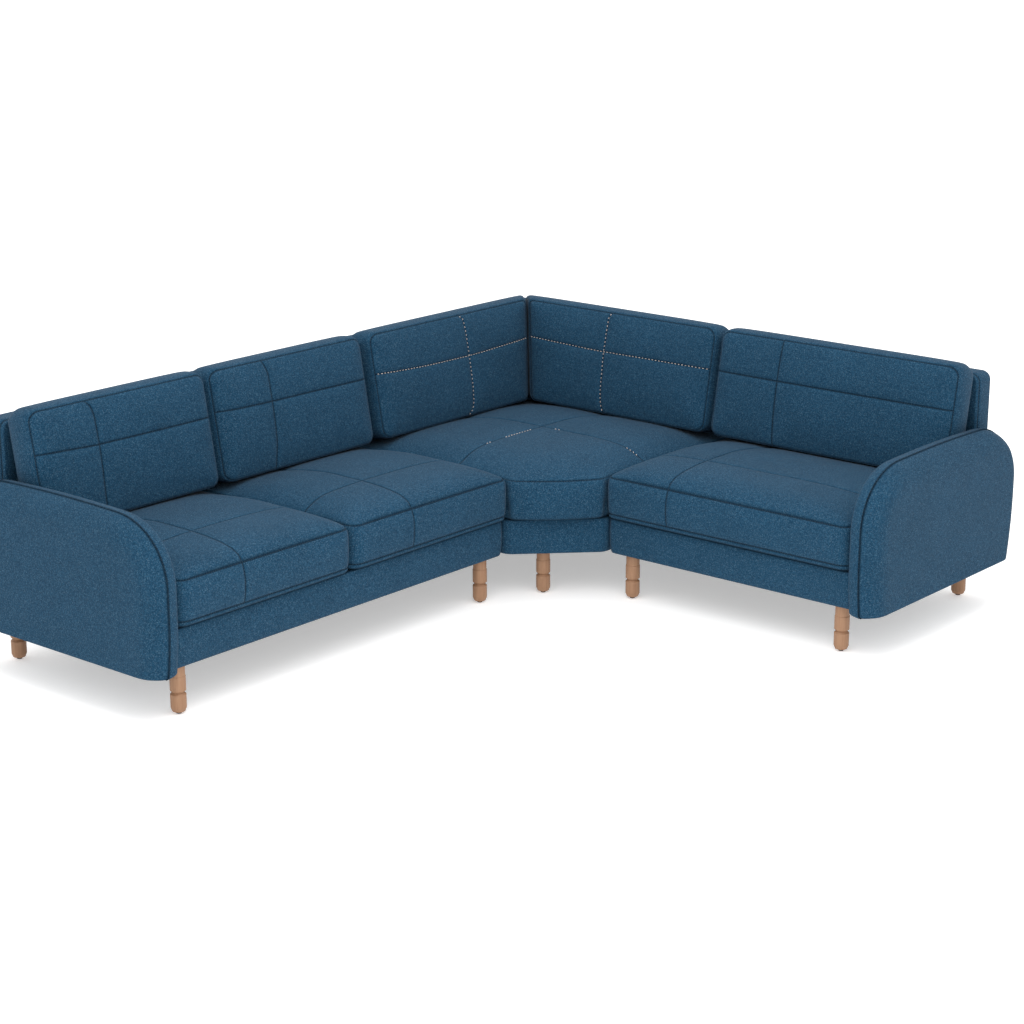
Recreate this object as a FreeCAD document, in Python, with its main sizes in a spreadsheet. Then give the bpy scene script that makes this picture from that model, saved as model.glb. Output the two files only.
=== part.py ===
# Modular corner sofa on turned legs: three upholstered modules with loose
# seat and back cushions.
#
# Frame: origin at the centre of the whole sofa's bounding box, on the floor.
# +X runs along the two-seat wing towards the corner, +Y runs from that wing's
# front to its back, +Z is up. All lengths are millimetres.
#
# Plan: the left wing runs along X and the right wing along Y. The right wing
# is laid out as the left one with X and Y exchanged, so both are built from
# the same rules in wing coordinates: "along" (towards the corner) and "deep"
# (from the front face to the back). Both are counted from the L's inner
# corner, where the two front faces would meet.

import FreeCAD, Part
import Sketcher
import math
import os

V = FreeCAD.Vector
doc = FreeCAD.newDocument("corner_sofa")
sheet = doc.addObject("Spreadsheet::Sheet", "dims")


class Q:
    """A length: its number, and the sheet expression that gives it."""

    def __init__(self, number, text):
        self.n = float(number)
        self.t = text

    def _with(self, other, sign, reverse=False):
        o = other if isinstance(other, Q) else Q(other, "%g" % other)
        a, b = (o, self) if reverse else (self, o)
        n = {"+": a.n + b.n, "-": a.n - b.n, "*": a.n * b.n,
             "/": a.n / b.n if b.n else 0.0}[sign]
        return Q(n, "(%s %s %s)" % (a.t, sign, b.t))

    def __add__(self, o): return self._with(o, "+")
    def __radd__(self, o): return self._with(o, "+", True)
    def __sub__(self, o): return self._with(o, "-")
    def __rsub__(self, o): return self._with(o, "-", True)
    def __mul__(self, o): return self._with(o, "*")
    def __rmul__(self, o): return self._with(o, "*", True)
    def __truediv__(self, o): return self._with(o, "/")
    def __neg__(self): return Q(-self.n, "(0 - %s)" % self.t)


D = {}


def dim(alias, value, note):
    row = len(D) + 2
    sheet.set("A%d" % row, note)
    sheet.set("B%d" % row, "%g" % value)
    sheet.setAlias("B%d" % row, alias)
    D[alias] = Q(value, "dims." + alias)
    return D[alias]


sheet.set("A1", "driving dimensions, mm")

# ---- plan -------------------------------------------------------------------
inner_x = dim("inner_x", 454, "inner corner of the L from the origin, X")
inner_y = dim("inner_y", 204, "inner corner of the L from the origin, Y")
left_end = dim("left_end", -1663, "outer end of the left module's frame")
right_end = dim("right_end", -1163, "outer end of the right module's frame")
join = dim("join", -236, "outer modules' joining faces")
corner_face = dim("corner_face", -234, "corner module's joining faces")
depth = dim("depth", 808, "frame depth, front face to rear face")
cut_sum = dim("cut_sum", -240, "along + deep on the corner's diagonal front")

# ---- heights ----------------------------------------------------------------
glide_high = dim("glide_high", 3, "glide height")
leg_top = dim("leg_top", 157, "top of the legs")
plate_thick = dim("plate_thick", 3, "leg plate thickness")
rail_low = dim("rail_low", 160, "underside of the rails")
rail_top = dim("rail_top", 255, "top of the rails")
cover_low = dim("cover_low", 151, "lower edge of the base panels")
cover_top = dim("cover_top", 268, "upper edge of the base panels")
deck_top = dim("deck_top", 269.5, "top of the padded deck")
seat_low = dim("seat_low", 271, "underside of the seat cushions")
seat_edge = dim("seat_edge", 409, "seat cushion edge height")
seat_crown = dim("seat_crown", 460, "seat cushion crown height")
back_top = dim("back_top", 752, "top of the back frame's cover")

# ---- sections ---------------------------------------------------------------
panel = dim("panel", 12, "upholstery panel thickness")
timber = dim("timber", 25, "rail thickness")
back_deep = dim("back_deep", 716, "front face of the back frame's cover")
back_skin = dim("back_skin", 14, "back cover panel thickness")
post_wide = dim("post_wide", 45, "back post width")
post_deep = dim("post_deep", 30, "back post and rail thickness")
gap_small = dim("gap_small", 1, "clearance beside the loose cushions")
seat_proud = dim("seat_proud", 26, "seat cushion overhang over the base")
cushion_end = dim("cushion_end", 712, "rear face of the seat cushions")

# ---- legs -------------------------------------------------------------------
leg_r = dim("leg_r", 23.3, "leg radius")
shank_r = dim("shank_r", 21.9, "leg radius above the step")
step_z = dim("step_z", 112, "height of the step")
groove_z = dim("groove_z", 64, "height of the turned groove")
groove_in = dim("groove_in", 6.2, "groove depth")
groove_half = dim("groove_half", 6, "half the groove's width")
foot_r = dim("foot_r", 15, "rounding of the foot")
glide_r = dim("glide_r", 8, "glide radius")
bolt_r = dim("bolt_r", 4, "hanger bolt radius")
leg_front = dim("leg_front", 42, "front legs from the front face")
leg_back = dim("leg_back", 755, "rear legs from the front face")
leg_left_end = dim("leg_left_end", -1621, "left module's outer legs")
leg_right_end = dim("leg_right_end", -1112, "right module's outer legs")
leg_join = dim("leg_join", -312, "legs beside the joining faces")
corner_leg_x = dim("corner_leg_x", -98, "corner module's front leg, X")
corner_leg_y = dim("corner_leg_y", -49, "corner module's front leg, Y")
corner_leg_a = dim("corner_leg_a", -165, "corner module's side legs")
corner_leg_b = dim("corner_leg_b", 750, "corner module's rear legs")

# ---- arms -------------------------------------------------------------------
arm_gap = dim("arm_gap", 2, "frame end to the arm's inner face")
arm_inner = dim("arm_inner", 43, "inner cover and band, thickness")
arm_outer = dim("arm_outer", 49, "outer cover, thickness")
arm_low = dim("arm_low", 134, "lower edge of the arms")
arm_high = dim("arm_high", 596, "upper edge of the arms")
arm_front = dim("arm_front", -33, "front of the arms")
arm_foot = dim("arm_foot", -20, "front of the arms at the lower edge")
arm_rear = dim("arm_rear", 849, "rear of the arms")
arm_heel = dim("arm_heel", 827, "rear of the arms at the lower edge")
arm_front_r = dim("arm_front_r", 200, "arm outline radius, front top")
arm_rear_r = dim("arm_rear_r", 190, "arm outline radius, rear top")
board_thick = dim("board_thick", 24, "arm board thickness")
board_in = dim("board_in", 16, "arm board edge inside the outline")

# ---- back cushions ----------------------------------------------------------
recline = dim("recline", 10.4, "back cushion recline, degrees")
foot_deep = dim("foot_deep", 519, "back cushion front face at its foot")
foot_z = dim("foot_z", 444, "height of that point")
thick = dim("thick", 127, "back cushion thickness")
tall = dim("tall", 373, "back cushion height along its face")
wall = dim("wall", 20, "cover and wadding round the foam")
under = dim("under", 1.5, "cushion underside cloth")
split = dim("split", -962, "division between the left wing's cushions")
back_end = dim("back_end", -264, "end of the left wing's back cushions")
seat_end = dim("seat_end", -241, "end of the outer modules' seat cushions")
corner_start = dim("corner_start", -239, "start of the corner's back cushions")

doc.recompute()

NODES = []          # the sub-parts, in order


def val(q):
    return q.n if isinstance(q, Q) else float(q)


def bind(obj, prop, q):
    """Sets a property from the sheet, or to a plain number."""
    if isinstance(q, Q):
        obj.setExpression(prop, q.t)


def place(obj, x, y, z, rot=None):
    obj.Placement = FreeCAD.Placement(V(val(x), val(y), val(z)),
                                      rot or FreeCAD.Rotation())
    bind(obj, "Placement.Base.x", x)
    bind(obj, "Placement.Base.y", y)
    bind(obj, "Placement.Base.z", z)


count = [0]


def new(kind, name):
    count[0] += 1
    return doc.addObject(kind, "%s_%d" % (name, count[0]))


def box(x0, x1, y0, y1, z0, z1):
    """A block between two corners, counted from the L's inner corner."""
    b = new("Part::Box", "block")
    for prop, lo, hi in (("Length", x0, x1), ("Width", y0, y1), ("Height", z0, z1)):
        setattr(b, prop, val(hi) - val(lo))
        size = hi - lo
        bind(b, prop, size)
    place(b, inner_x + x0, inner_y + y0, z0 if isinstance(z0, Q) else float(z0))
    return b


def cyl(x, y, z0, z1, r, rot=None):
    c = new("Part::Cylinder", "round")
    c.Radius = val(r)
    bind(c, "Radius", r)
    c.Height = val(z1) - val(z0)
    bind(c, "Height", z1 - z0)
    place(c, inner_x + x, inner_y + y, z0, rot)
    return c


def cyl_dir(x, y, z, length, r, direction):
    """A round bar from (x, y, z) along direction."""
    c = new("Part::Cylinder", "bar")
    c.Radius = val(r)
    bind(c, "Radius", r)
    c.Height = val(length)
    bind(c, "Height", length)
    place(c, inner_x + x, inner_y + y, z, FreeCAD.Rotation(V(0, 0, 1), direction))
    return c


def fuse(objs):
    f = new("Part::MultiFuse", "joined")
    f.Shapes = objs
    return f


def cut(base, tools):
    c = new("Part::Cut", "cut")
    c.Base = base
    c.Tool = tools[0] if len(tools) == 1 else fuse(tools)
    return c


def common(a, b):
    c = new("Part::Common", "shared")
    c.Base = a
    c.Tool = b
    return c


def fillet(base, pick, r):
    """Rounds the edges for which pick(edge) is true; r is a number."""
    doc.recompute()
    f = new("Part::Fillet", "rounded")
    f.Base = base
    f.Edges = [(i + 1, r, r) for i, e in enumerate(base.Shape.Edges) if pick(e)]
    return f


def node(name, obj):
    """Names a sub-part; a list becomes a group of separate solids."""
    if isinstance(obj, list):
        g = doc.addObject("Part::Compound", name)
        g.Links = obj
        obj = g
    obj.Label = name
    NODES.append((name, obj))
    return obj


def swap(wing, a, d):
    """Wing coordinates (along, deep) to the plan's X and Y."""
    return (a, d) if wing == "left" else (d, a)


def wbox(wing, a0, a1, d0, d1, z0, z1):
    x0, y0 = swap(wing, a0, d0)
    x1, y1 = swap(wing, a1, d1)
    return box(x0, x1, y0, y1, z0, z1)


# ---- sketches on a body's own origin planes -----------------------------------

def sketch(body, name, role, offset=None):
    sk = body.newObject("Sketcher::SketchObject", name)
    plane = [f for f in body.Origin.OriginFeatures if f.Role == role][0]
    sk.AttachmentSupport = [(plane, "")]
    sk.MapMode = "FlatFace"
    if offset is not None:
        sk.AttachmentOffset = FreeCAD.Placement(V(0, 0, val(offset)), FreeCAD.Rotation())
        bind(sk, "AttachmentOffset.Base.z", offset)
    return sk


def polygon(sk, pts):
    """A closed outline whose corners are bound to the sheet."""
    n = len(pts)
    for i in range(n):
        a, b = pts[i], pts[(i + 1) % n]
        sk.addGeometry(Part.LineSegment(V(val(a[0]), val(a[1]), 0),
                                        V(val(b[0]), val(b[1]), 0)), False)
    for i in range(n):
        sk.addConstraint(Sketcher.Constraint("Coincident", i, 2, (i + 1) % n, 1))
    for i, (px, py) in enumerate(pts):
        for kind, q in (("DistanceX", px), ("DistanceY", py)):
            k = sk.addConstraint(Sketcher.Constraint(kind, -1, 1, i, 1, val(q)))
            if isinstance(q, Q):
                sk.setExpression("Constraints[%d]" % k, q.t)


def body(name):
    return doc.addObject("PartDesign::Body", name)


# ---- turned leg: one profile, revolved at each place ---------------------------

profile = doc.addObject("Sketcher::SketchObject", "leg_profile")
polygon(profile, [
    (Q(bolt_r.n + 0.1, "(dims.bolt_r + 0.1)"), leg_top),
    (shank_r, leg_top),
    (shank_r, step_z + 2),
    (leg_r, step_z),
    (leg_r, groove_z + groove_half),
    (leg_r - groove_in, groove_z),
    (leg_r, groove_z - groove_half),
    (leg_r, glide_high + foot_r),
    (leg_r - foot_r * 0.293, glide_high + foot_r * 0.293),
    (leg_r - foot_r, glide_high),
    (Q(0.001, "0.001"), glide_high),
    (Q(0.001, "0.001"), leg_top - 40),
    (Q(bolt_r.n + 0.1, "(dims.bolt_r + 0.1)"), leg_top - 40),
])
# the sketch's plane stands upright, so that its Y is the leg's axis
profile.Placement = FreeCAD.Placement(V(0, 0, 0), FreeCAD.Rotation(V(1, 0, 0), 90))
doc.recompute()


def turned_leg(x, y):
    r = new("Part::Revolution", "leg")
    r.Source = profile
    r.Axis = V(0, 0, 1)
    r.Base = V(0, 0, 0)
    r.Angle = 360
    r.Solid = True
    place(r, inner_x + x, inner_y + y, 0)
    return r


def leg_set(prefix, spots):
    node(prefix + "_legs", [turned_leg(x, y) for x, y in spots])
    node(prefix + "_leg_glides",
         [cyl(x, y, Q(0, "0"), glide_high, glide_r) for x, y in spots])
    plates = []
    for x, y in spots:
        p = box(x - 29, x + 29, y - 29, y + 29, leg_top, leg_top + plate_thick)
        b = cyl(x, y, leg_top - 38, leg_top + 25, bolt_r)
        plates.append(fuse([p, b]))
    node(prefix + "_leg_plates", plates)


def holes(spots, z0, z1, r):
    return [cyl(x, y, z0, z1, r) for x, y in spots]


# ---- an outer module: base, back, arm ------------------------------------------

def outer_module(wing, end, leg_end, crosses, posts):
    legs = [swap(wing, a, d) for a in (leg_end, leg_join)
            for d in (leg_front, leg_back)]
    leg_set(wing, legs)

    # corner blocks carry the leg plates
    blocks = []
    for a, side in ((leg_end, 1), (leg_join, -1)):
        for d in (leg_front, leg_back):
            a0, a1 = (end + panel + timber, a + 45) if side > 0 else \
                     (a - 45, join - panel - timber)
            d0, d1 = (panel + timber, d + 45) if d is leg_front else \
                     (d - 45, depth - panel - timber)
            blocks.append(wbox(wing, a0, a1, d0, d1, rail_low, rail_low + 45))
    drills = holes(legs, rail_low - 1, rail_low + 26, bolt_r + 0.3)
    blocks = [cut(b, [g]) for b, g in zip(blocks, drills)]

    # rails: front and back run the whole length, side and cross rails between
    front = wbox(wing, end + panel, join - panel, panel, panel + timber,
                 rail_low, rail_top)
    rear = wbox(wing, end + panel, join - panel, depth - panel - timber,
                depth - panel, rail_low, rail_top)
    outer = wbox(wing, end + panel, end + panel + timber, panel + timber,
                 depth - panel - timber, rail_low, rail_top)
    inner = wbox(wing, join - panel - timber, join - panel, panel + timber,
                 depth - panel - timber, rail_low, rail_top)
    # arm bolts pass the outer side rail; connector pins rise into the inner one
    bolts_at = [(d, z) for d in (150, 400, 650) for z in (205,)]
    axis = V(-1, 0, 0) if wing == "left" else V(0, -1, 0)

    def across(a, d, z, length, r):
        x, y = swap(wing, a, d)
        return cyl_dir(x, y, Q(z, "%g" % z), length, r, axis)

    clear_bolt = [across(end + panel + timber + 1, Q(d, "%g" % d), z,
                         Q(60, "60"), Q(4.4, "4.4")) for d, z in bolts_at]
    outer = cut(outer, clear_bolt)
    pin_d = [Q(150, "150"), Q(640, "640")]
    pin_at = [swap(wing, join - panel - timber / 2, d) for d in pin_d]
    inner = cut(inner, [cyl(x, y, rail_low - 1, rail_low + 20, Q(7.5, "7.5"))
                        for x, y in pin_at])
    ties = [wbox(wing, a - timber / 2, a + timber / 2, panel + timber,
                 depth - panel - timber, rail_low + 20, rail_top)
            for a in crosses]
    node(wing + "_seat_frame", [front, rear, outer, inner] + ties + blocks)

    # webbing from the front rail to the back rail, between the back posts
    straps = []
    for p0, p1 in zip(posts, posts[1:]):
        a = p0 + post_wide + 17
        while a.n + 70 < p1.n - 8:
            straps.append(wbox(wing, a, a + 70, panel, depth - panel, rail_top,
                               rail_top + 2.5))
            a = a + 104
    node(wing + "_seat_webbing", straps)

    # padded deck on the webbing
    node(wing + "_seat_deck",
         wbox(wing, end + panel + 0.5, join - panel - 0.5, panel + 0.5,
              back_deep - 0.5, rail_top + 2.5, deck_top))

    # upholstered base panels
    face = wbox(wing, end, join, Q(0, "0"), panel, cover_low, cover_top)
    ex, ey = swap(wing, join, Q(0, "0"))
    corner = V(val(inner_x + ex), val(inner_y + ey), 0)

    def joined_edge(e):
        c = e.CenterOfMass
        flat = e.Vertexes[0].Point.z != e.Vertexes[1].Point.z
        return flat and abs(c.x - corner.x) < 0.1 and abs(c.y - corner.y) < 0.1

    face = fillet(face, joined_edge, 11.5)
    tail = wbox(wing, end, join, depth - panel, depth, cover_low, cover_top)
    side_a = wbox(wing, end, end + panel, panel, depth - panel, rail_low - 2,
                  cover_top)
    side_a = cut(side_a, [across(end + panel + 1, Q(d, "%g" % d), z, Q(30, "30"),
                                 Q(4.4, "4.4")) for d, z in bolts_at])
    side_b = wbox(wing, join - panel, join, panel, depth - panel, rail_low - 2,
                  cover_top)
    node(wing + "_base_cover", [face, tail, side_a, side_b])

    # dust cover, with holes for the legs and the connector pins
    sheet_low = wbox(wing, end + panel + 0.5, join - panel - 0.5, panel + 0.5,
                     depth - panel - 0.5, Q(155.2, "155.2"), Q(156.4, "156.4"))
    node(wing + "_dust_cover",
         cut(sheet_low, holes(legs, Q(150, "150"), Q(160, "160"), leg_r + 4)
             + [cyl(x, y, Q(150, "150"), Q(160, "160"), Q(9, "9"))
                for x, y in pin_at]))

    # socket plates that the corner module's pins enter
    socks = []
    for d, (x, y) in zip(pin_d, pin_at):
        p = wbox(wing, join - panel - timber - 8, join - panel - 0.5, d - 25,
                 d + 25, leg_top, leg_top + plate_thick)
        socks.append(cut(p, [cyl(x, y, Q(150, "150"), Q(165, "165"), Q(6, "6"))]))
    node(wing + "_socket_plates", socks)

    # back frame: posts behind the deck, with a top rail and a middle rail
    d0 = back_deep + back_skin + 10
    d1 = d0 + post_deep
    uprights = [wbox(wing, a, a + post_wide, d0, d1, rail_low + 47, back_top - 60)
                for a in posts]
    top = wbox(wing, posts[0], posts[-1] + post_wide, d0, d1, back_top - 60,
               back_top - back_skin - 2)
    mids = [wbox(wing, a + post_wide, b, d0, d1, Q(430, "430"), Q(475, "475"))
            for a, b in zip(posts, posts[1:])]
    node(wing + "_back_frame", uprights + [top] + mids)

    # back cover panels: front, rear, top and both ends
    fr = wbox(wing, end, join, back_deep, back_deep + back_skin, cover_top + 0.5,
              back_top)
    re = wbox(wing, end, join, depth - back_skin, depth, cover_top + 0.5, back_top)
    tp = wbox(wing, end, join, back_deep + back_skin, depth - back_skin,
              back_top - back_skin, back_top)
    e1 = wbox(wing, end, end + back_skin, back_deep + back_skin,
              depth - back_skin, cover_top + 0.5, back_top - back_skin)
    e2 = wbox(wing, join - back_skin, join, back_deep + back_skin,
              depth - back_skin, cover_top + 0.5, back_top - back_skin)
    node(wing + "_back_cover", [fr, re, tp, e1, e2])

    # ---- arm ---------------------------------------------------------------
    role = "YZ_Plane" if wing == "left" else "XZ_Plane"
    off = inner_y if wing == "left" else inner_x

    def level(a):
        """Distance of the plane 'along = a' on the sketch plane's normal."""
        return inner_x + a if wing == "left" else -(inner_y + a)

    def outline(inset):
        return [(off + arm_foot + inset, arm_low + inset),
                (off + arm_front + inset, Q(300, "300")),
                (off + arm_front + inset, arm_high - inset),
                (off + arm_rear - inset, arm_high - inset),
                (off + arm_rear - inset, Q(400, "400")),
                (off + arm_heel - inset, arm_low + inset)]

    def slab(name, a_in, a_out, inset):
        """A flat piece of the arm's outline between two planes."""
        b = body(name)
        sk = sketch(b, name + "_outline", role, level(a_out if wing == "left" else a_in))
        polygon(sk, outline(inset))
        pad = b.newObject("PartDesign::Pad", name + "_pad")
        pad.Profile = sk
        pad.Length = val(a_in) - val(a_out)
        bind(pad, "Length", a_in - a_out)
        b.Tip = pad
        doc.recompute()
        # the long rounded top corners, then the small ones at the foot
        picks = []
        for i, e in enumerate(pad.Shape.Edges):
            v = e.Vertexes
            if len(v) != 2:
                continue
            dv = v[1].Point.sub(v[0].Point)
            lateral = abs(dv.x) if wing == "left" else abs(dv.y)
            if lateral < 1 or dv.Length - lateral > 0.01:
                continue
            picks.append((i + 1, e.CenterOfMass))
        hi = [(i, c) for i, c in picks if c.z > arm_high.n - inset.n - 1]
        deep_of = (lambda c: c.y) if wing == "left" else (lambda c: c.x)
        hi.sort(key=lambda ic: deep_of(ic[1]))
        f1 = b.newObject("PartDesign::Fillet", name + "_front_round")
        f1.Base = (pad, ["Edge%d" % hi[0][0]])
        f1.Radius = arm_front_r.n - inset.n
        f1.setExpression("Radius", (arm_front_r - inset).t)
        b.Tip = f1
        doc.recompute()
        rear_edge = None
        for i, e in enumerate(f1.Shape.Edges):
            c = e.CenterOfMass
            v = e.Vertexes
            dv = v[-1].Point.sub(v[0].Point)
            lateral = abs(dv.x) if wing == "left" else abs(dv.y)
            if lateral > 1 and abs(c.z - (arm_high.n - inset.n)) < 0.1 and \
               abs(deep_of(c) - (off.n + arm_rear.n - inset.n)) < 0.1:
                rear_edge = i + 1
        f2 = b.newObject("PartDesign::Fillet", name + "_rear_round")
        f2.Base = (f1, ["Edge%d" % rear_edge])
        f2.Radius = arm_rear_r.n - inset.n
        f2.setExpression("Radius", (arm_rear_r - inset).t)
        b.Tip = f2
        doc.recompute()
        return b

    zero = Q(0, "0")
    inside = end - arm_gap
    middle = inside - arm_inner
    outside = middle - arm_outer
    board_out = middle
    board_inn = middle + board_thick
    blank = slab(wing + "_arm_inner_blank", inside, middle, zero)
    recess = slab(wing + "_arm_recess", board_inn, board_out, board_in - 0.3)
    bores = [across(end + 1, Q(d, "%g" % d), z, Q(30, "30"), Q(4.4, "4.4"))
             for d, z in bolts_at]
    node(wing + "_arm_inner_cover", cut(blank, [recess] + bores))
    board = slab(wing + "_arm_board_blank", board_inn, board_out, board_in)
    node(wing + "_arm_board",
         cut(board, [across(middle + board_thick + 1, Q(d, "%g" % d), z,
                            Q(22, "22"), Q(4.2, "4.2")) for d, z in bolts_at]))
    outer_blank = slab(wing + "_arm_outer_blank", middle, outside, zero)
    doc.recompute()
    face_at = val(inner_x + outside) if wing == "left" else val(inner_y + outside)

    def outer_rim(e):
        c = [v.Point for v in e.Vertexes]
        on = all(abs((p.x if wing == "left" else p.y) - face_at) < 0.1 for p in c)
        return on

    node(wing + "_arm_outer_cover", fillet(outer_blank, outer_rim, 24.0))

    # arm bolts: head inside the rail, shank through to the board
    arm_bolts = []
    for d, z in bolts_at:
        q = Q(d, "%g" % d)
        shank = across(end + panel + timber + 4, q, z, panel + timber + 4
                       + arm_gap + arm_inner - board_thick + 18, Q(4, "4"))
        head = across(end + panel + timber + 10, q, z, Q(9, "9"), Q(8, "8"))
        arm_bolts.append(fuse([shank, head]))
    node(wing + "_arm_bolts", arm_bolts)


# The bolt heads stand just inside the outer side rail, clear of its face.
outer_module("left", left_end, leg_left_end,
             [Q(-1300, "(-1300)"), Q(-905, "(-905)"), Q(-600, "(-600)")],
             [left_end + 38.5, Q(-972, "(-972)"), join - 83.5])
outer_module("right", right_end, leg_right_end,
             [Q(-700, "(-700)")],
             [right_end + 38.5, join - 83.5])


# ---- corner module ---------------------------------------------------------------

cf = corner_face
inner_d = depth - panel
legs_c = [(corner_leg_x, corner_leg_y), (corner_leg_a, corner_leg_b),
          (corner_leg_b, corner_leg_a), (corner_leg_b, corner_leg_b)]
leg_set("corner", legs_c)
root2 = math.sqrt(2.0)


def diagonal(along0, along1, deep0, deep1, z0, z1):
    """A block laid along the diagonal front; deep is counted inwards from it."""
    b = new("Part::Box", "diagonal")
    for prop, lo, hi in (("Length", along0, along1), ("Width", deep0, deep1),
                         ("Height", z0, z1)):
        setattr(b, prop, val(hi) - val(lo))
        bind(b, prop, hi - lo)
    # middle of the cut-off face, then along (1, -1) and inwards (1, 1)
    mx = cut_sum / 2
    s = 1 / root2
    x = inner_x + mx + along0 * s + deep0 * s
    y = inner_y + mx - along0 * s + deep0 * s
    place(b, x, y, z0, FreeCAD.Rotation(V(0, 0, 1), -45))
    return b


# half the length of the diagonal face between the two joining faces
half_cut = (corner_face * 2 - cut_sum) / (-root2)

rail_a = box(cf + panel, cf + panel + timber, Q(30, "30"), inner_d - timber,
             rail_low, rail_top)
rail_b = box(Q(30, "30"), inner_d - timber, cf + panel, cf + panel + timber,
             rail_low, rail_top)
rear_a = box(cf + panel, inner_d, inner_d - timber, inner_d, rail_low, rail_top)
rear_b = box(inner_d - timber, inner_d, cf + panel, inner_d - timber, rail_low,
             rail_top)
slant = diagonal(-half_cut + 22, half_cut - 22, panel, panel + timber,
                 rail_low, rail_top)
tie_c = box(Q(320, "320"), Q(320, "320") + timber, cf + panel + timber,
            inner_d - timber, rail_low + 20, rail_top)
# corner blocks
blk = [box(corner_leg_x - 40, corner_leg_x + 45, corner_leg_y - 25,
           corner_leg_y + 45, rail_low, rail_low + 45)]
keep_in = diagonal(-half_cut - 200, half_cut + 200, panel + timber, Q(400, "400"),
                   rail_low - 10, rail_low + 80)
blk[0] = common(blk[0], keep_in)
for x, y in legs_c[1:]:
    x0, x1 = (cf + panel + timber, x + 45) if x is corner_leg_a else \
             (x - 45, inner_d - timber)
    y0, y1 = (cf + panel + timber, y + 45) if y is corner_leg_a else \
             (y - 45, inner_d - timber)
    blk.append(box(x0, x1, y0, y1, rail_low, rail_low + 45))
drill_c = holes(legs_c, rail_low - 1, rail_low + 26, bolt_r + 0.3)
node("corner_seat_frame", [rail_a, rail_b, rear_a, rear_b, slant, tie_c]
     + [cut(b, [d]) for b, d in zip(blk, drill_c)])

# webbing runs one way, from the left joining rail to the rear right rail
straps = []
for y0 in (75, 172, 305, 405, 505, 605):
    a = Q(y0, "%g" % y0)
    straps.append(box(cf + panel, inner_d, a, a + 70, rail_top, rail_top + 2.5))
for y0 in (-30, -135):
    q = Q(y0, "(%g)" % y0)
    x0 = cut_sum - q + 45
    straps.append(box(x0, inner_d, q, q + 70, rail_top, rail_top + 2.5))
node("corner_seat_webbing", straps)


def corner_plan(inset, rear, front_extra):
    """The five-sided plan of the corner, as corner points."""
    s = cut_sum + front_extra
    f = cf + inset
    return [(inner_x + f, inner_y + s - f), (inner_x + s - f, inner_y + f),
            (inner_x + rear, inner_y + f), (inner_x + rear, inner_y + rear),
            (inner_x + f, inner_y + rear)]


def corner_prism(name, inset, rear, front_extra, z0, z1):
    b = body(name)
    sk = sketch(b, name + "_plan", "XY_Plane", z0)
    polygon(sk, corner_plan(inset, rear, front_extra))
    pad = b.newObject("PartDesign::Pad", name + "_pad")
    pad.Profile = sk
    pad.Length = val(z1) - val(z0)
    bind(pad, "Length", z1 - z0)
    b.Tip = pad
    return b


node("corner_seat_deck", corner_prism("corner_deck", panel + 0.5, back_deep - 0.5,
                                      Q(20, "20"), rail_top + 2.5, deck_top))

# base panels: two joining sides, two rears and the diagonal front
pa = box(cf, cf + panel, Q(4, "4"), inner_d, rail_low - 2, cover_top)
pb = box(Q(4, "4"), inner_d, cf, cf + panel, rail_low - 2, cover_top)
pr = box(cf, depth, inner_d, depth, cover_low, cover_top)
pq = box(inner_d, depth, cf, inner_d, cover_low, cover_top)
front_c = corner_prism("corner_front_blank", Q(0, "0"), Q(10, "10"), Q(0, "0"),
                       cover_low, cover_top)
front_hollow = corner_prism("corner_front_hollow", Q(0, "0"), Q(30, "30"),
                            panel * root2, cover_low - 5, cover_top + 5)
front_trim = box(cf - 5, Q(3.5, "3.5"), cf - 5, Q(3.5, "3.5"), cover_low, cover_top)
front_p = common(cut(front_c, [front_hollow]), front_trim)
node("corner_base_cover", [pa, pb, pr, pq, front_p])

pin_c = []
for d in (150, 640):
    q = Q(d, "%g" % d)
    a = join - panel - timber / 2
    pin_c += [("left", a, q), ("right", a, q)]

# dust cover
dust = corner_prism("corner_dust_blank", panel + 0.5, inner_d - 0.5, Q(24, "24"),
                    Q(155.2, "155.2"), Q(156.4, "156.4"))
notches = []
brackets = []
for wing, a, d in pin_c:
    notches.append(wbox(wing, cf - 5, cf + panel + timber + 3, d - 28, d + 28,
                        Q(150, "150"), Q(165, "165")))
    plate = wbox(wing, a - 12, cf + panel + timber, d - 25, d + 25,
                 Q(151.2, "151.2"), Q(154.2, "154.2"))
    spacer = wbox(wing, cf + panel + 1, cf + panel + timber, d - 25, d + 25,
                  Q(154.2, "154.2"), rail_low)
    x, y = swap(wing, a, d)
    pin = cyl(x, y, Q(154.2, "154.2"), Q(172, "172"), Q(5, "5"))
    brackets.append(fuse([plate, spacer, pin]))
node("corner_dust_cover",
     cut(dust, holes(legs_c, Q(150, "150"), Q(160, "160"), leg_r + 4) + notches))
node("corner_pin_brackets", brackets)

# back frame and cover of the two rear sides
d0 = back_deep + back_skin + 10
d1 = d0 + post_deep
z_top = back_top - 60
frame_bits = []
post_a = cf + 38.5
post_b = Q(250, "250")
for a in (post_a, post_b):
    frame_bits.append(box(a, a + post_wide, d0, d1, rail_low + 47, z_top))
    frame_bits.append(box(d0, d1, a, a + post_wide, rail_low + 47, z_top))
frame_bits.append(box(d0, d1, d0, d1, rail_low + 47, z_top))
frame_bits.append(box(post_a, d1, d0, d1, z_top, back_top - back_skin - 2))
frame_bits.append(box(d0, d1, post_a, d0, z_top, back_top - back_skin - 2))
for a0, a1 in ((post_a + post_wide, post_b), (post_b + post_wide, d0)):
    frame_bits.append(box(a0, a1, d0, d1, Q(430, "430"), Q(475, "475")))
    frame_bits.append(box(d0, d1, a0, a1, Q(430, "430"), Q(475, "475")))
node("corner_back_frame", frame_bits)

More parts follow.
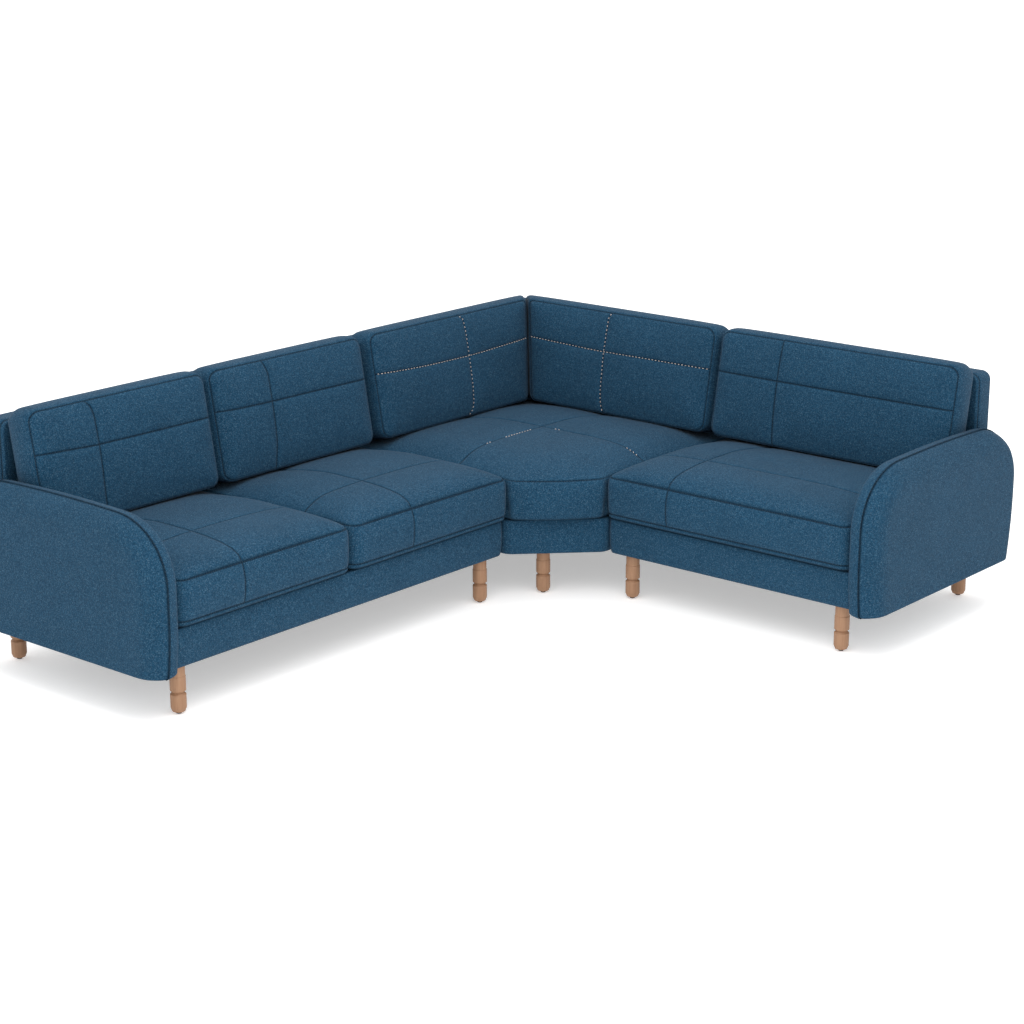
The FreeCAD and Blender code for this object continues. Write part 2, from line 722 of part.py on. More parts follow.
bk = back_deep
bs = back_deep + back_skin
zi = cover_top + 0.5
zt = back_top - back_skin
node("corner_back_cover", [
    box(cf, bk, bk, bs, zi, back_top),                       # left side, front
    box(bk, bs, cf, bs, zi, back_top),                       # right side, front
    box(cf, depth, depth - back_skin, depth, zi, back_top),  # rear
    box(depth - back_skin, depth, cf, depth - back_skin, zi, back_top),
    box(cf, depth - back_skin, bs, depth - back_skin, zt, back_top),
    box(bs, depth - back_skin, cf, bs, zt, back_top),
    box(cf, cf + back_skin, bs, depth - back_skin, zi, zt),
    box(bs, depth - back_skin, cf, cf + back_skin, zi, zt)])


# ---- seat cushions ---------------------------------------------------------------
# Each is a sewn cover with a cavity open underneath, a foam core in it, and an
# underside cloth that closes the cavity's mouth.

def crowned(name, low_plan, high_plan, z0, z1, z2):
    """A straight-sided base with a crown lofted on it."""
    b = body(name)
    sk = sketch(b, name + "_plan", "XY_Plane", z0)
    polygon(sk, low_plan)
    pad = b.newObject("PartDesign::Pad", name + "_pad")
    pad.Profile = sk
    pad.Length = val(z1) - val(z0)
    bind(pad, "Length", z1 - z0)
    s1 = sketch(b, name + "_edge", "XY_Plane", z1)
    polygon(s1, low_plan)
    s2 = sketch(b, name + "_crown", "XY_Plane", z2)
    polygon(s2, high_plan)
    loft = b.newObject("PartDesign::AdditiveLoft", name + "_loft")
    loft.Profile = s1
    loft.Sections = [s2]
    loft.Ruled = True
    b.Tip = loft
    return b


def flat(name, plan, z0, z1):
    """A plain prism of a plan."""
    b = body(name)
    sk = sketch(b, name + "_plan", "XY_Plane", z0)
    polygon(sk, plan)
    pad = b.newObject("PartDesign::Pad", name + "_pad")
    pad.Profile = sk
    pad.Length = val(z1) - val(z0)
    bind(pad, "Length", z1 - z0)
    b.Tip = pad
    return b


def upright(e):
    v = e.Vertexes
    if len(v) != 2:
        return False
    dv = v[1].Point.sub(v[0].Point)
    return dv.Length > 20 and abs(dv.z) > dv.Length * 0.999


def seat_nodes(name, low, high, core_low, core_high, plug_low, plug_high):
    blank = crowned(name + "_blank", low, high, seat_low, seat_edge, seat_crown)
    hollow = crowned(name + "_hollow", core_low, core_high, seat_low - 1,
                     seat_edge - wall, seat_crown - wall)
    shell = cut(fillet(blank, upright, 18.0), [hollow])
    cloth = flat(name + "_underside", plug_low, seat_low, seat_low + under)
    node(name, [shell, cloth])
    node(name + "_foam", crowned(name + "_foam_blank", plug_low, plug_high,
                                 seat_low + under, seat_edge - wall - 0.5,
                                 seat_crown - wall - 0.5))


def seat(name, wing, a0, a1):
    def rect(a0, a1, d0, d1):
        pts = []
        for a, d in ((a0, d0), (a1, d0), (a1, d1), (a0, d1)):
            x, y = swap(wing, a, d)
            pts.append((inner_x + x, inner_y + y))
        return pts

    w = wall
    seat_nodes(name,
               rect(a0, a1, -seat_proud, cushion_end),
               rect(a0 + 60, a1 - 60, Q(40, "40"), Q(400, "400")),
               rect(a0 + w, a1 - w, w - seat_proud, cushion_end - w),
               rect(a0 + 60, a1 - 60, Q(60, "60"), Q(390, "390")),
               rect(a0 + w + 0.5, a1 - w - 0.5, w - seat_proud + 0.5,
                    cushion_end - w - 0.5),
               rect(a0 + 61, a1 - 61, Q(61, "61"), Q(389, "389")))


seat("left_seat_cushion_a", "left", left_end + gap_small, split - gap_small)
seat("left_seat_cushion_b", "left", split + gap_small, seat_end)
seat("right_seat_cushion", "right", right_end + gap_small, seat_end)

over = Q(-35, "(-35)")
seat_nodes("corner_seat_cushion",
           corner_plan(gap_small, cushion_end, over),
           corner_plan(Q(60, "60"), Q(400, "400"), Q(62, "62")),
           corner_plan(gap_small + wall, cushion_end - wall, Q(-5, "(-5)")),
           corner_plan(Q(75, "75"), Q(390, "390"), Q(86, "86")),
           corner_plan(gap_small + wall + 0.5, cushion_end - wall - 0.5,
                       Q(-4, "(-4)")),
           corner_plan(Q(76, "76"), Q(389, "389"), Q(88, "88")))


# ---- back cushions ---------------------------------------------------------------
# Reclined blocks with rounded edges; the two on the corner meet on a mitre.

tilt = {"left": FreeCAD.Rotation(V(1, 0, 0), -recline.n),
        "right": FreeCAD.Rotation(V(0, 1, 0), recline.n)}


def reclined(wing, a0, a1, inset, low, high):
    """A block in the reclined cushion's own axes."""
    b = new("Part::Box", "reclined")
    span = a1 - a0 - inset * 2
    deep = thick - inset * 2
    first, second = ("Length", "Width") if wing == "left" else ("Width", "Length")
    setattr(b, first, val(span))
    bind(b, first, span)
    setattr(b, second, val(deep))
    bind(b, second, deep)
    b.Height = val(high) - val(low)
    bind(b, "Height", high - low)
    c = math.cos(math.radians(recline.n))
    s = math.sin(math.radians(recline.n))
    d = foot_deep + inset * c + low * s
    z = foot_z - inset * s + low * c
    x, y = swap(wing, a0 + inset, d)
    place(b, inner_x + x, inner_y + y, z, tilt[wing])
    return b


def mitre(wing, back_off):
    """Everything past the corner's 45 degree line, from a stated distance short of it."""
    t = new("Part::Box", "past_mitre")
    t.Length, t.Width, t.Height = 1500, 3000, 1200
    s = 1 / root2
    sign = 1 if wing == "left" else -1
    o = back_off
    w0 = -500.0 if wing == "left" else -2500.0
    x = inner_x - o * (s * sign) + w0 * s * sign
    y = inner_y + o * (s * sign) + w0 * s * sign
    place(t, x, y, 0.0, FreeCAD.Rotation(V(0, 0, 1), -45 if wing == "left" else 135))
    return t


def back_cushion(name, wing, a0, a1, mitred=False):
    none = Q(0, "0")
    block = reclined(wing, a0, a1, none, none, tall)
    hollow = reclined(wing, a0, a1, wall, none - 5, tall - wall)
    plug = reclined(wing, a0, a1, wall + 0.5, none, under)
    foam = reclined(wing, a0, a1, wall + 0.5, under, tall - wall - 0.5)
    if mitred:
        block = cut(block, [mitre(wing, gap_small * 1)])
        hollow = cut(hollow, [mitre(wing, wall)])
        plug = cut(plug, [mitre(wing, wall + 0.5)])
        foam = cut(foam, [mitre(wing, wall + 0.5)])
    block = fillet(block, lambda e: e.Length > 60, 20.0)
    node(name, [cut(block, [hollow]), plug])
    node(name + "_foam", foam)


back_cushion("left_back_cushion_a", "left", left_end + 2, split - gap_small)
back_cushion("left_back_cushion_b", "left", split + gap_small, back_end)
back_cushion("corner_back_cushion_left", "left", corner_start, Q(900, "900"), True)
back_cushion("corner_back_cushion_right", "right", corner_start, Q(900, "900"), True)
back_cushion("right_back_cushion", "right", right_end + 2, Q(-246, "(-246)"))


# ---- check and write ---------------------------------------------------------------

doc.recompute()
bad = [o.Name + " " + str(o.State) for o in doc.Objects
       if "Invalid" in o.State or "Error" in o.State]
for name, obj in NODES:
    sh = obj.Shape
    if sh.isNull() or not sh.isValid() or not sh.Solids:
        bad.append(name + " has no valid shape")
    elif any(s.Volume <= 0 for s in sh.Solids):
        bad.append(name + " has a solid with no volume")
if bad:
    raise RuntimeError("; ".join(bad))
if len(NODES) > 60 or len(set(n for n, _ in NODES)) != len(NODES):
    raise RuntimeError("too many sub-parts, or a name used twice")

os.makedirs("parts", exist_ok=True)
whole = FreeCAD.BoundBox()
for name, obj in NODES:
    obj.Shape.exportStep("parts/%s.step" % name)
    whole.add(obj.Shape.BoundBox)
    print("%-34s %2d solids %9.1f cm3" % (name, len(obj.Shape.Solids),
                                          obj.Shape.Volume / 1000.0))
print(len(NODES), "sub-parts")
print("box", whole)
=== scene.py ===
import math

import bpy
import numpy as np
from mathutils import Matrix, Vector

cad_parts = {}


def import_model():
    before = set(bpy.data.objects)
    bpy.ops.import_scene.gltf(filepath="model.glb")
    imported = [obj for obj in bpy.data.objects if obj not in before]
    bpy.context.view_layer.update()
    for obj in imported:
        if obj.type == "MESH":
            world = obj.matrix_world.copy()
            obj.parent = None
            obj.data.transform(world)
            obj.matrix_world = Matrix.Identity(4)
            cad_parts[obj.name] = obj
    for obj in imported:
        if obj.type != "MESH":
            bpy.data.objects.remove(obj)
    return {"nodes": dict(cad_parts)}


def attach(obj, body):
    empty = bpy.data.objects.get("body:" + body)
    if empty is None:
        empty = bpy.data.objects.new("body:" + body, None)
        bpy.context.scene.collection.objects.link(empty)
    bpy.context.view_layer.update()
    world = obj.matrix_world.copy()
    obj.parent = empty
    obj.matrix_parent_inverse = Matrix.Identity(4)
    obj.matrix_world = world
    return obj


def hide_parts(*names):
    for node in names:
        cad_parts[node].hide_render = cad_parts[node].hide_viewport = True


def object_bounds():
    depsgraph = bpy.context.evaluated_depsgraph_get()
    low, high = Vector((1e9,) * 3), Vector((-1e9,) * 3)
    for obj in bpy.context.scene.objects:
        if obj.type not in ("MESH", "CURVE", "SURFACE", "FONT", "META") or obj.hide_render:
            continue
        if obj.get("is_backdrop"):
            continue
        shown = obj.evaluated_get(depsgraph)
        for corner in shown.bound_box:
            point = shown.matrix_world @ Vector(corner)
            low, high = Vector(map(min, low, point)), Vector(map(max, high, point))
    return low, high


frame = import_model()
cad_low, cad_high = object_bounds()
nodes = frame["nodes"]
scene = bpy.context.scene
MM = 0.001
INNER = np.array([454.0, 204.0])  # the inner corner of the L, where both wings' depths start
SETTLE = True

# All lengths below are in millimetres. A wing's own coordinates are
# a (along it, below zero away from the corner), d (depth from its front) and z.


# ---- numbers -----------------------------------------------------------------

def curve(*points):
    """A smooth curve through points that never overshoots them."""
    xs = np.array([p[0] for p in points], float)
    ys = np.array([p[1] for p in points], float)
    h = np.diff(xs)
    s = np.diff(ys) / h
    m = np.zeros_like(xs)
    m[0], m[-1] = s[0], s[-1]
    for i in range(1, len(xs) - 1):
        if s[i - 1] * s[i] > 0:
            w1, w2 = 2 * h[i] + h[i - 1], h[i] + 2 * h[i - 1]
            m[i] = (w1 + w2) / (w1 / s[i - 1] + w2 / s[i])

    def f(x):
        x = np.clip(np.asarray(x, float), xs[0], xs[-1])
        i = np.clip(np.searchsorted(xs, x, side="right") - 1, 0, len(xs) - 2)
        t = (x - xs[i]) / h[i]
        return (ys[i] * (1 + 2 * t) * (1 - t) ** 2 + m[i] * h[i] * t * (1 - t) ** 2
                + ys[i + 1] * t * t * (3 - 2 * t) + m[i + 1] * h[i] * t * t * (t - 1))
    return f


def smooth(t):
    t = np.clip(t, 0, 1)
    return t * t * (3 - 2 * t)


def lines(lo, hi, step, marks=(), near=(), edge=()):
    """Places for grid lines: both ends, every mark, some close beside them, and even ones between."""
    fixed = {round(float(v), 4) for v in (lo, hi, *marks)}
    for m in marks:
        fixed |= {round(m + s * o, 4) for o in near for s in (-1, 1) if lo < m + s * o < hi}
    fixed |= {round(v, 4) for e in edge for v in (lo + e, hi - e)}
    fixed = sorted(fixed)
    kept = [fixed[0]]
    must = {round(float(v), 4) for v in (lo, hi, *marks)}
    for v in fixed[1:]:
        if v - kept[-1] < 0.9:
            if v in must:
                if kept[-1] in must:
                    kept.append(v)
                else:
                    kept[-1] = v
            continue
        kept.append(v)
    out = [kept[0]]
    for a, b in zip(kept[:-1], kept[1:]):
        n = max(1, int(math.ceil((b - a) / step - 0.15)))
        out += [a + (b - a) * k / n for k in range(1, n + 1)]
    return np.array(out)


def weights(coarse, fine):
    """The matrix that carries values at coarse places to fine ones on a natural cubic."""
    n = len(coarse)
    h = np.diff(coarse)
    a = np.eye(n)
    b = np.zeros((n, n))
    for i in range(1, n - 1):
        a[i, i - 1], a[i, i], a[i, i + 1] = h[i - 1], 2 * (h[i - 1] + h[i]), h[i]
        b[i, i - 1], b[i, i], b[i, i + 1] = 6 / h[i - 1], -6 / h[i - 1] - 6 / h[i], 6 / h[i]
    second = np.linalg.solve(a, b)
    i = np.clip(np.searchsorted(coarse, fine, side="right") - 1, 0, n - 2)
    hi = h[i]
    u = (coarse[i + 1] - fine) / hi
    v = (fine - coarse[i]) / hi
    w = np.zeros((len(fine), n))
    r = np.arange(len(fine))
    w[r, i] += u
    w[r, i + 1] += v
    w += ((u ** 3 - u) * hi * hi / 6)[:, None] * second[i]
    w += ((v ** 3 - v) * hi * hi / 6)[:, None] * second[i + 1]
    return w


# ---- closed forms on a grid ----------------------------------------------------

class Grid:
    """How the vertices of a closed form are numbered: a face, rings round its side, and a back."""

    def __init__(self, xs, ys, ws):
        self.xs, self.ys, self.ws = xs, ys, ws
        nx, ny, nw = len(xs), len(ys), len(ws)
        loop = ([(i, 0) for i in range(nx - 1)] + [(nx - 1, j) for j in range(ny - 1)]
                + [(i, ny - 1) for i in range(nx - 1, 0, -1)]
                + [(0, j) for j in range(ny - 1, 0, -1)])
        self.li = np.array([p[0] for p in loop])
        self.lj = np.array([p[1] for p in loop])
        self.side = np.array([0] * (nx - 1) + [1] * (ny - 1) + [2] * (nx - 1) + [3] * (ny - 1))
        n = len(loop)
        self.face = np.arange(nx * ny).reshape(nx, ny)
        mid = nx * ny + np.arange(max(0, nw - 2) * n).reshape(-1, n)
        start = nx * ny + mid.size
        self.back = start + np.arange(nx * ny).reshape(nx, ny)
        self.rings = np.vstack([self.face[self.li, self.lj][None], mid,
                                self.back[self.li, self.lj][None]])
        self.count = start + nx * ny
        f, b, r = self.face, self.back, self.rings
        q = [np.stack([f[:-1, :-1], f[1:, :-1], f[1:, 1:], f[:-1, 1:]], -1).reshape(-1, 4),
             np.stack([b[:-1, :-1], b[:-1, 1:], b[1:, 1:], b[1:, :-1]], -1).reshape(-1, 4)]
        nxt = np.roll(r, -1, axis=1)
        q.append(np.stack([r[:-1], r[1:], nxt[1:], nxt[:-1]], -1).reshape(-1, 4))
        self.quads = np.vstack(q)


def rounded_square(x, y, x0, x1, y0, y1, radii, power=(2, 2, 2, 2)):
    """Moves the points of a full rectangle into one with rounded corners.
    The corners go round from (x0, y0)."""
    x, y = x.copy(), y.copy()
    for k, (cx, cy, sx, sy) in enumerate(((x0, y0, 1, 1), (x1, y0, -1, 1),
                                          (x1, y1, -1, -1), (x0, y1, 1, -1))):
        r, p = radii[k], power[k]
        if r <= 0:
            continue
        px = r - (x - cx) * sx
        py = r - (y - cy) * sy
        inside = (px > 0) & (py > 0)
        far = np.maximum(px, py)
        norm = (np.abs(px) ** p + np.abs(py) ** p) ** (1 / p)
        scale = np.where(inside & (norm > 1e-9), far / np.maximum(norm, 1e-9), 1)
        x = np.where(inside, cx + sx * (r - px * scale), x)
        y = np.where(inside, cy + sy * (r - py * scale), y)
    return x, y


def nearest(px, py, lx, ly):
    """Distance from points to a closed line, and the outward direction at the nearest place."""
    ax, ay = lx, ly
    bx, by = np.roll(lx, -1), np.roll(ly, -1)
    ex, ey = bx - ax, by - ay
    ll = ex * ex + ey * ey + 1e-12
    best = np.full(px.size, 1e9)
    ox, oy = np.zeros(px.size), np.zeros(px.size)
    P, Q = px.ravel(), py.ravel()
    length = np.sqrt(ll)
    for k in range(0, P.size, 4000):
        p, q = P[k:k + 4000, None], Q[k:k + 4000, None]
        t = np.clip(((p - ax) * ex + (q - ay) * ey) / ll, 0, 1)
        dx, dy = p - (ax + t * ex), q - (ay + t * ey)
        d = dx * dx + dy * dy
        i = d.argmin(1)
        best[k:k + 4000] = np.sqrt(d[np.arange(len(i)), i])
        ox[k:k + 4000], oy[k:k + 4000] = (ey / length)[i], (-ex / length)[i]
    return best.reshape(px.shape), ox.reshape(px.shape), oy.reshape(px.shape)


class Form:
    """A closed soft form. outline moves nominal grid points into plan, face and back give
    the height of both sides, ring the side's outset and height, world turns it all into
    the sofa's frame."""

    def __init__(self, name, span, outline, face, back, ring, world, side_length,
                 cross_x=(), cross_y=(), ring_seams=(), side_lines=(), face_out=0.0,
                 back_out=0.0, edge_seam=True, step=9.0, pull=0.0, ring_step=None,
                 marks_x=(), marks_y=(), groove=2.6, extra_edge=(), fold=None):
        # the fold setting paints shade low on a cushion's side where it tucks under: (side, or None for every side;
        # where it starts; where it is full; how dark)
        self.__dict__.update(locals())
        self.moved = None

    def grid(self, fine):
        x0, x1, y0, y1 = self.span
        near = (1.1, 2.6, 5.2) if fine else ()
        edge = ((1.3, 3.0, 6.0, 10.0, 15.0, 21.0, 28.0) if fine else (5.0, 12.0, 21.0))
        edge = edge + tuple(self.extra_edge)
        step = self.step if fine else 13.0
        xs = lines(x0, x1, step, (*self.cross_x, *self.marks_x), near, edge)
        ys = lines(y0, y1, step, (*self.cross_y, *self.marks_y), near, edge)
        ws = lines(0, self.side_length, self.ring_step or (7.0 if fine else 12.0),
                   self.ring_seams, near, (1.3, 3.2) if fine else ())
        return Grid(xs, ys, ws)

    def points(self, g):
        X, Y = np.meshgrid(g.xs, g.ys, indexing="ij")
        u, v = self.outline(X, Y)
        bu, bv = u[g.li, g.lj], v[g.li, g.lj]
        d, nx, ny = nearest(u, v, bu, bv)
        d[g.li, g.lj] = 0
        tx = np.roll(bu, -1) - np.roll(bu, 1)
        ty = np.roll(bv, -1) - np.roll(bv, 1)
        t = np.hypot(tx, ty)
        ox, oy = ty / t, -tx / t
        out = np.zeros((g.count, 3))
        fall = np.exp(-(d / 45.0) ** 2)
        self.face_gap = d
        for ids, o, height in ((g.face, self.face_out, self.face), (g.back, self.back_out, self.back)):
            nxx, nyy = nx.copy(), ny.copy()
            nxx[g.li, g.lj], nyy[g.li, g.lj] = ox, oy
            uu, vv = u + o * fall * nxx, v + o * fall * nyy
            out[ids.ravel()] = np.stack([uu, vv, height(uu, vv, d)], -1).reshape(-1, 3)
        for k in range(1, len(g.ws) - 1):
            o, n = self.ring(g.ws[k], bu, bv, ox, oy)
            out[g.rings[k]] = np.stack([bu + o * ox, bv + o * oy, n + 0 * bu], -1)
        return out

    def pinned(self, g):
        """Vertices that stay where they are while the form fills out."""
        hold = np.zeros(g.count)
        for s in self.cross_x:
            hold[g.face[np.abs(g.xs - s).argmin(), :]] = 1
        for s in self.cross_y:
            hold[g.face[:, np.abs(g.ys - s).argmin()]] = 1
        hold[g.rings[0]] = 1
        for s in self.ring_seams:
            hold[g.rings[np.abs(g.ws - s).argmin()]] = 1
        hold[g.back.ravel()] = 1
        return hold

    def coarse(self):
        g = self.grid(False)
        return g, self.points(g)

    def spread(self, g, h, moved):
        """The settled movement, carried from the coarse grid g to the fine grid h."""
        wx, wy, ww = weights(g.xs, h.xs), weights(g.ys, h.ys), weights(g.ws, h.ws)
        out = np.zeros((h.count, 3))
        for ids_g, ids_h in ((g.face, h.face), (g.back, h.back)):
            out[ids_h.ravel()] = np.einsum("ai,bj,ijc->abc", wx, wy, moved[ids_g]).reshape(-1, 3)
        n_g, n_h = len(g.li), len(h.li)
        for side in range(4):
            cg = np.nonzero(g.side == side)[0]
            cg = np.append(cg, (cg[-1] + 1) % n_g)
            ch = np.nonzero(h.side == side)[0]
            w = wx if side in (0, 2) else wy
            # sides 2 and 3 run backwards along their axis
            along = w if side in (0, 1) else w[::-1, ::-1]
            part = np.einsum("ka,lb,abc->klc", ww, along, moved[g.rings[:, cg]])
            out[h.rings[1:-1, ch]] = part[1:-1, :-1]
        return out


def normals_of(points, quads):
    n = np.zeros_like(points)
    a = points[quads[:, 2]] - points[quads[:, 0]]
    b = points[quads[:, 3]] - points[quads[:, 1]]
    c = np.cross(a, b)
    for k in range(4):
        np.add.at(n, quads[:, k], c)
    return n / np.maximum(np.linalg.norm(n, axis=1), 1e-12)[:, None]


def volume_of(points, quads):
    a, b, c, d = (points[quads[:, k]] for k in range(4))
    return (np.einsum("ij,ij->i", a, np.cross(b, c)).sum()
            + np.einsum("ij,ij->i", a, np.cross(c, d)).sum()) / 6


def dent(distance, depth, width=2.5):
    """The cross-section of a sewn groove with soft lips."""
    return -depth * np.exp(-(distance / width) ** 2) - 0.28 * depth * np.exp(-(distance / 7.0) ** 2)


# ---- stitches --------------------------------------------------------------------

def stitches(path, normal, length=7.0, gap=3.2, radius=0.62, lift=0.35, sides=5, bent=1.0,
             start=0.0, stop=None):
    """Short bent threads along a line on a surface, as (vertices, quads)."""
    path, normal = np.asarray(path), np.asarray(normal)
    step = np.linalg.norm(np.diff(path, axis=0), axis=1)
    at = np.concatenate([[0], np.cumsum(step)])
    stop = at[-1] if stop is None else stop
    verts, quads = [], []
    s = start + gap
    ring = np.arange(sides) * 2 * math.pi / sides
    t5 = np.array([0, 0.14, 0.5, 0.86, 1.0])
    high = np.array([-1.5, 0.35, 1.0, 0.35, -1.5])
    thin = np.array([0.55, 0.95, 1.0, 0.95, 0.55])
    while s + length < stop:
        here = s + t5 * length
        p = np.stack([np.interp(here, at, path[:, k]) for k in range(3)], -1)
        n = np.stack([np.interp(here, at, normal[:, k]) for k in range(3)], -1)
        n /= np.linalg.norm(n, axis=1)[:, None]
        t = np.gradient(p, axis=0)
        t /= np.linalg.norm(t, axis=1)[:, None]
        b = np.cross(t, n)
        b /= np.linalg.norm(b, axis=1)[:, None]
        p = p + n * (lift + high * radius * bent)[:, None]
        base = len(verts) * 0 + sum(len(v) for v in verts)
        block = (p[:, None] + radius * thin[:, None, None]
                 * (np.cos(ring)[None, :, None] * n[:, None] + np.sin(ring)[None, :, None] * b[:, None]))
        verts.append(block.reshape(-1, 3))
        for i in range(len(t5) - 1):
            for k in range(sides):
                k2 = (k + 1) % sides
                quads.append((base + i * sides + k, base + i * sides + k2,
                              base + (i + 1) * sides + k2, base + (i + 1) * sides + k))
        s += length + gap
    if not verts:
        return np.zeros((0, 3)), np.zeros((0, 4), int)
    return np.vstack(verts), np.array(quads)


def caps(verts, sides=5, rings=5):
    """The end caps of the stitches, as polygons."""
    out = []
    for base in range(0, len(verts), sides * rings):
        out.append(tuple(base + k for k in range(sides))[::-1])
        out.append(tuple(base + (rings - 1) * sides + k for k in range(sides)))
    return out


# ---- meshes ------------------------------------------------------------------------

def mesh_object(name, points, faces, materials, index=None, marks=None):
    """points in millimetres in the wings' frame; the inner corner is added here."""
    me = bpy.data.meshes.new(name)
    co = np.array(points, float)
    co[:, 0] += INNER[0]
    co[:, 1] += INNER[1]
    me.from_pydata((co * MM).tolist(), [], [tuple(int(i) for i in f) for f in faces])
    for m in materials:
        me.materials.append(m)
    if index is not None:
        me.polygons.foreach_set("material_index", np.asarray(index, np.int32))
    for key, values in (marks or {}).items():
        a = me.attributes.new(key, "FLOAT", "POINT")
        a.data.foreach_set("value", np.asarray(values, np.float32))
    me.polygons.foreach_set("use_smooth", np.ones(len(me.polygons), bool))
    me.update()
    ob = bpy.data.objects.new(name, me)
    scene.collection.objects.link(ob)
    return ob


def place(obj, body, replaced, slot, fill=None):
    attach(obj, body)
    if replaced:
        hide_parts(*replaced)
    return obj


# ---- materials ---------------------------------------------------------------------

class Nodes:
    def __init__(self, name):
        self.m = bpy.data.materials.new(name)
        self.m.use_nodes = True
        self.t = self.m.node_tree
        self.t.nodes.clear()
        self.out = self.add("ShaderNodeOutputMaterial")
        self.bsdf = self.add("ShaderNodeBsdfPrincipled")
        self.link(self.bsdf.outputs[0], self.out.inputs[0])
        self.co = self.add("ShaderNodeTexCoord").outputs["Object"]

    def add(self, kind, **props):
        n = self.t.nodes.new(kind)
        for k, v in props.items():
            setattr(n, k, v)
        return n

    def link(self, a, b):
        self.t.links.new(a, b)

    def put(self, socket, value):
        if isinstance(value, bpy.types.NodeSocket):
            self.link(value, socket)
        else:
            socket.default_value = value

    def math(self, op, a, b=None, c=None, clamp=False):
        n = self.add("ShaderNodeMath", operation=op, use_clamp=clamp)
        self.put(n.inputs[0], a)
        if b is not None:
            self.put(n.inputs[1], b)
        if c is not None:
            self.put(n.inputs[2], c)
        return n.outputs[0]

    def noise(self, scale, detail=2.0, rough=0.5, distortion=0.0, at=None, kind="FBM"):
        n = self.add("ShaderNodeTexNoise", noise_dimensions="3D")
        self.link(at or self.co, n.inputs["Vector"])
        n.inputs["Scale"].default_value = scale
        n.inputs["Detail"].default_value = detail
        n.inputs["Roughness"].default_value = rough
        n.inputs["Distortion"].default_value = distortion
        return n.outputs["Fac"]

    def scaled(self, x, y, z, turn=(0, 0, 0)):
        n = self.add("ShaderNodeMapping")
        self.link(self.co, n.inputs["Vector"])
        n.inputs["Scale"].default_value = (x, y, z)
        n.inputs["Rotation"].default_value = turn
        return n.outputs["Vector"]

    def ramp(self, value, *stops, mode="LINEAR"):
        n = self.add("ShaderNodeValToRGB")
        n.color_ramp.interpolation = mode
        e = n.color_ramp.elements
        while len(e) < len(stops):
            e.new(0.5)
        for el, (pos, col) in zip(e, stops):
            el.position = pos
            el.color = (*col, 1) if len(col) == 3 else col
        self.link(value, n.inputs["Fac"])
        return n.outputs["Color"]

    def map(self, value, a, b, c, d, smooth_step=False):
        n = self.add("ShaderNodeMapRange")
        if smooth_step:
            n.interpolation_type = "SMOOTHSTEP"
        self.put(n.inputs["Value"], value)
        for key, v in (("From Min", a), ("From Max", b), ("To Min", c), ("To Max", d)):
            n.inputs[key].default_value = v
        return n.outputs["Result"]

    def mix(self, fac, a, b, mode="MIX"):
        n = self.add("ShaderNodeMix", data_type="RGBA", blend_type=mode)
        self.put(n.inputs["Factor"], fac)
        self.put(n.inputs["A"], a if isinstance(a, bpy.types.NodeSocket) else (*a, 1))
        self.put(n.inputs["B"], b if isinstance(b, bpy.types.NodeSocket) else (*b, 1))
        return n.outputs["Result"]

    def bump(self, height, strength, distance, normal=None):
        n = self.add("ShaderNodeBump")
        n.inputs["Strength"].default_value = strength
        n.inputs["Distance"].default_value = distance
        self.link(height, n.inputs["Height"])
        if normal is not None:
            self.link(normal, n.inputs["Normal"])
        return n.outputs["Normal"]

    def attribute(self, name):
        return self.add("ShaderNodeAttribute", attribute_name=name).outputs["Fac"]


def weave(k, pitch):
    """A plain weave's rise and fall on any side of the cloth."""
    s = k.add("ShaderNodeSeparateXYZ")
    wob = k.add("ShaderNodeVectorMath", operation="ADD")
    n = k.add("ShaderNodeTexNoise")
    k.link(k.co, n.inputs["Vector"])
    n.inputs["Scale"].default_value = 90
    sc = k.add("ShaderNodeVectorMath", operation="SCALE")
    k.link(n.outputs["Color"], sc.inputs[0])
    sc.inputs["Scale"].default_value = 0.0022
    k.link(k.co, wob.inputs[0])
    k.link(sc.outputs[0], wob.inputs[1])
    k.link(wob.outputs[0], s.inputs[0])
    w = 2 * math.pi / pitch
    x = k.math("SINE", k.math("MULTIPLY", s.outputs[0], w))
    y = k.math("SINE", k.math("MULTIPLY", s.outputs[1], w))
    z = k.math("SINE", k.math("MULTIPLY", s.outputs[2], w))
    return k.math("ADD", k.math("ADD", x, y), z)


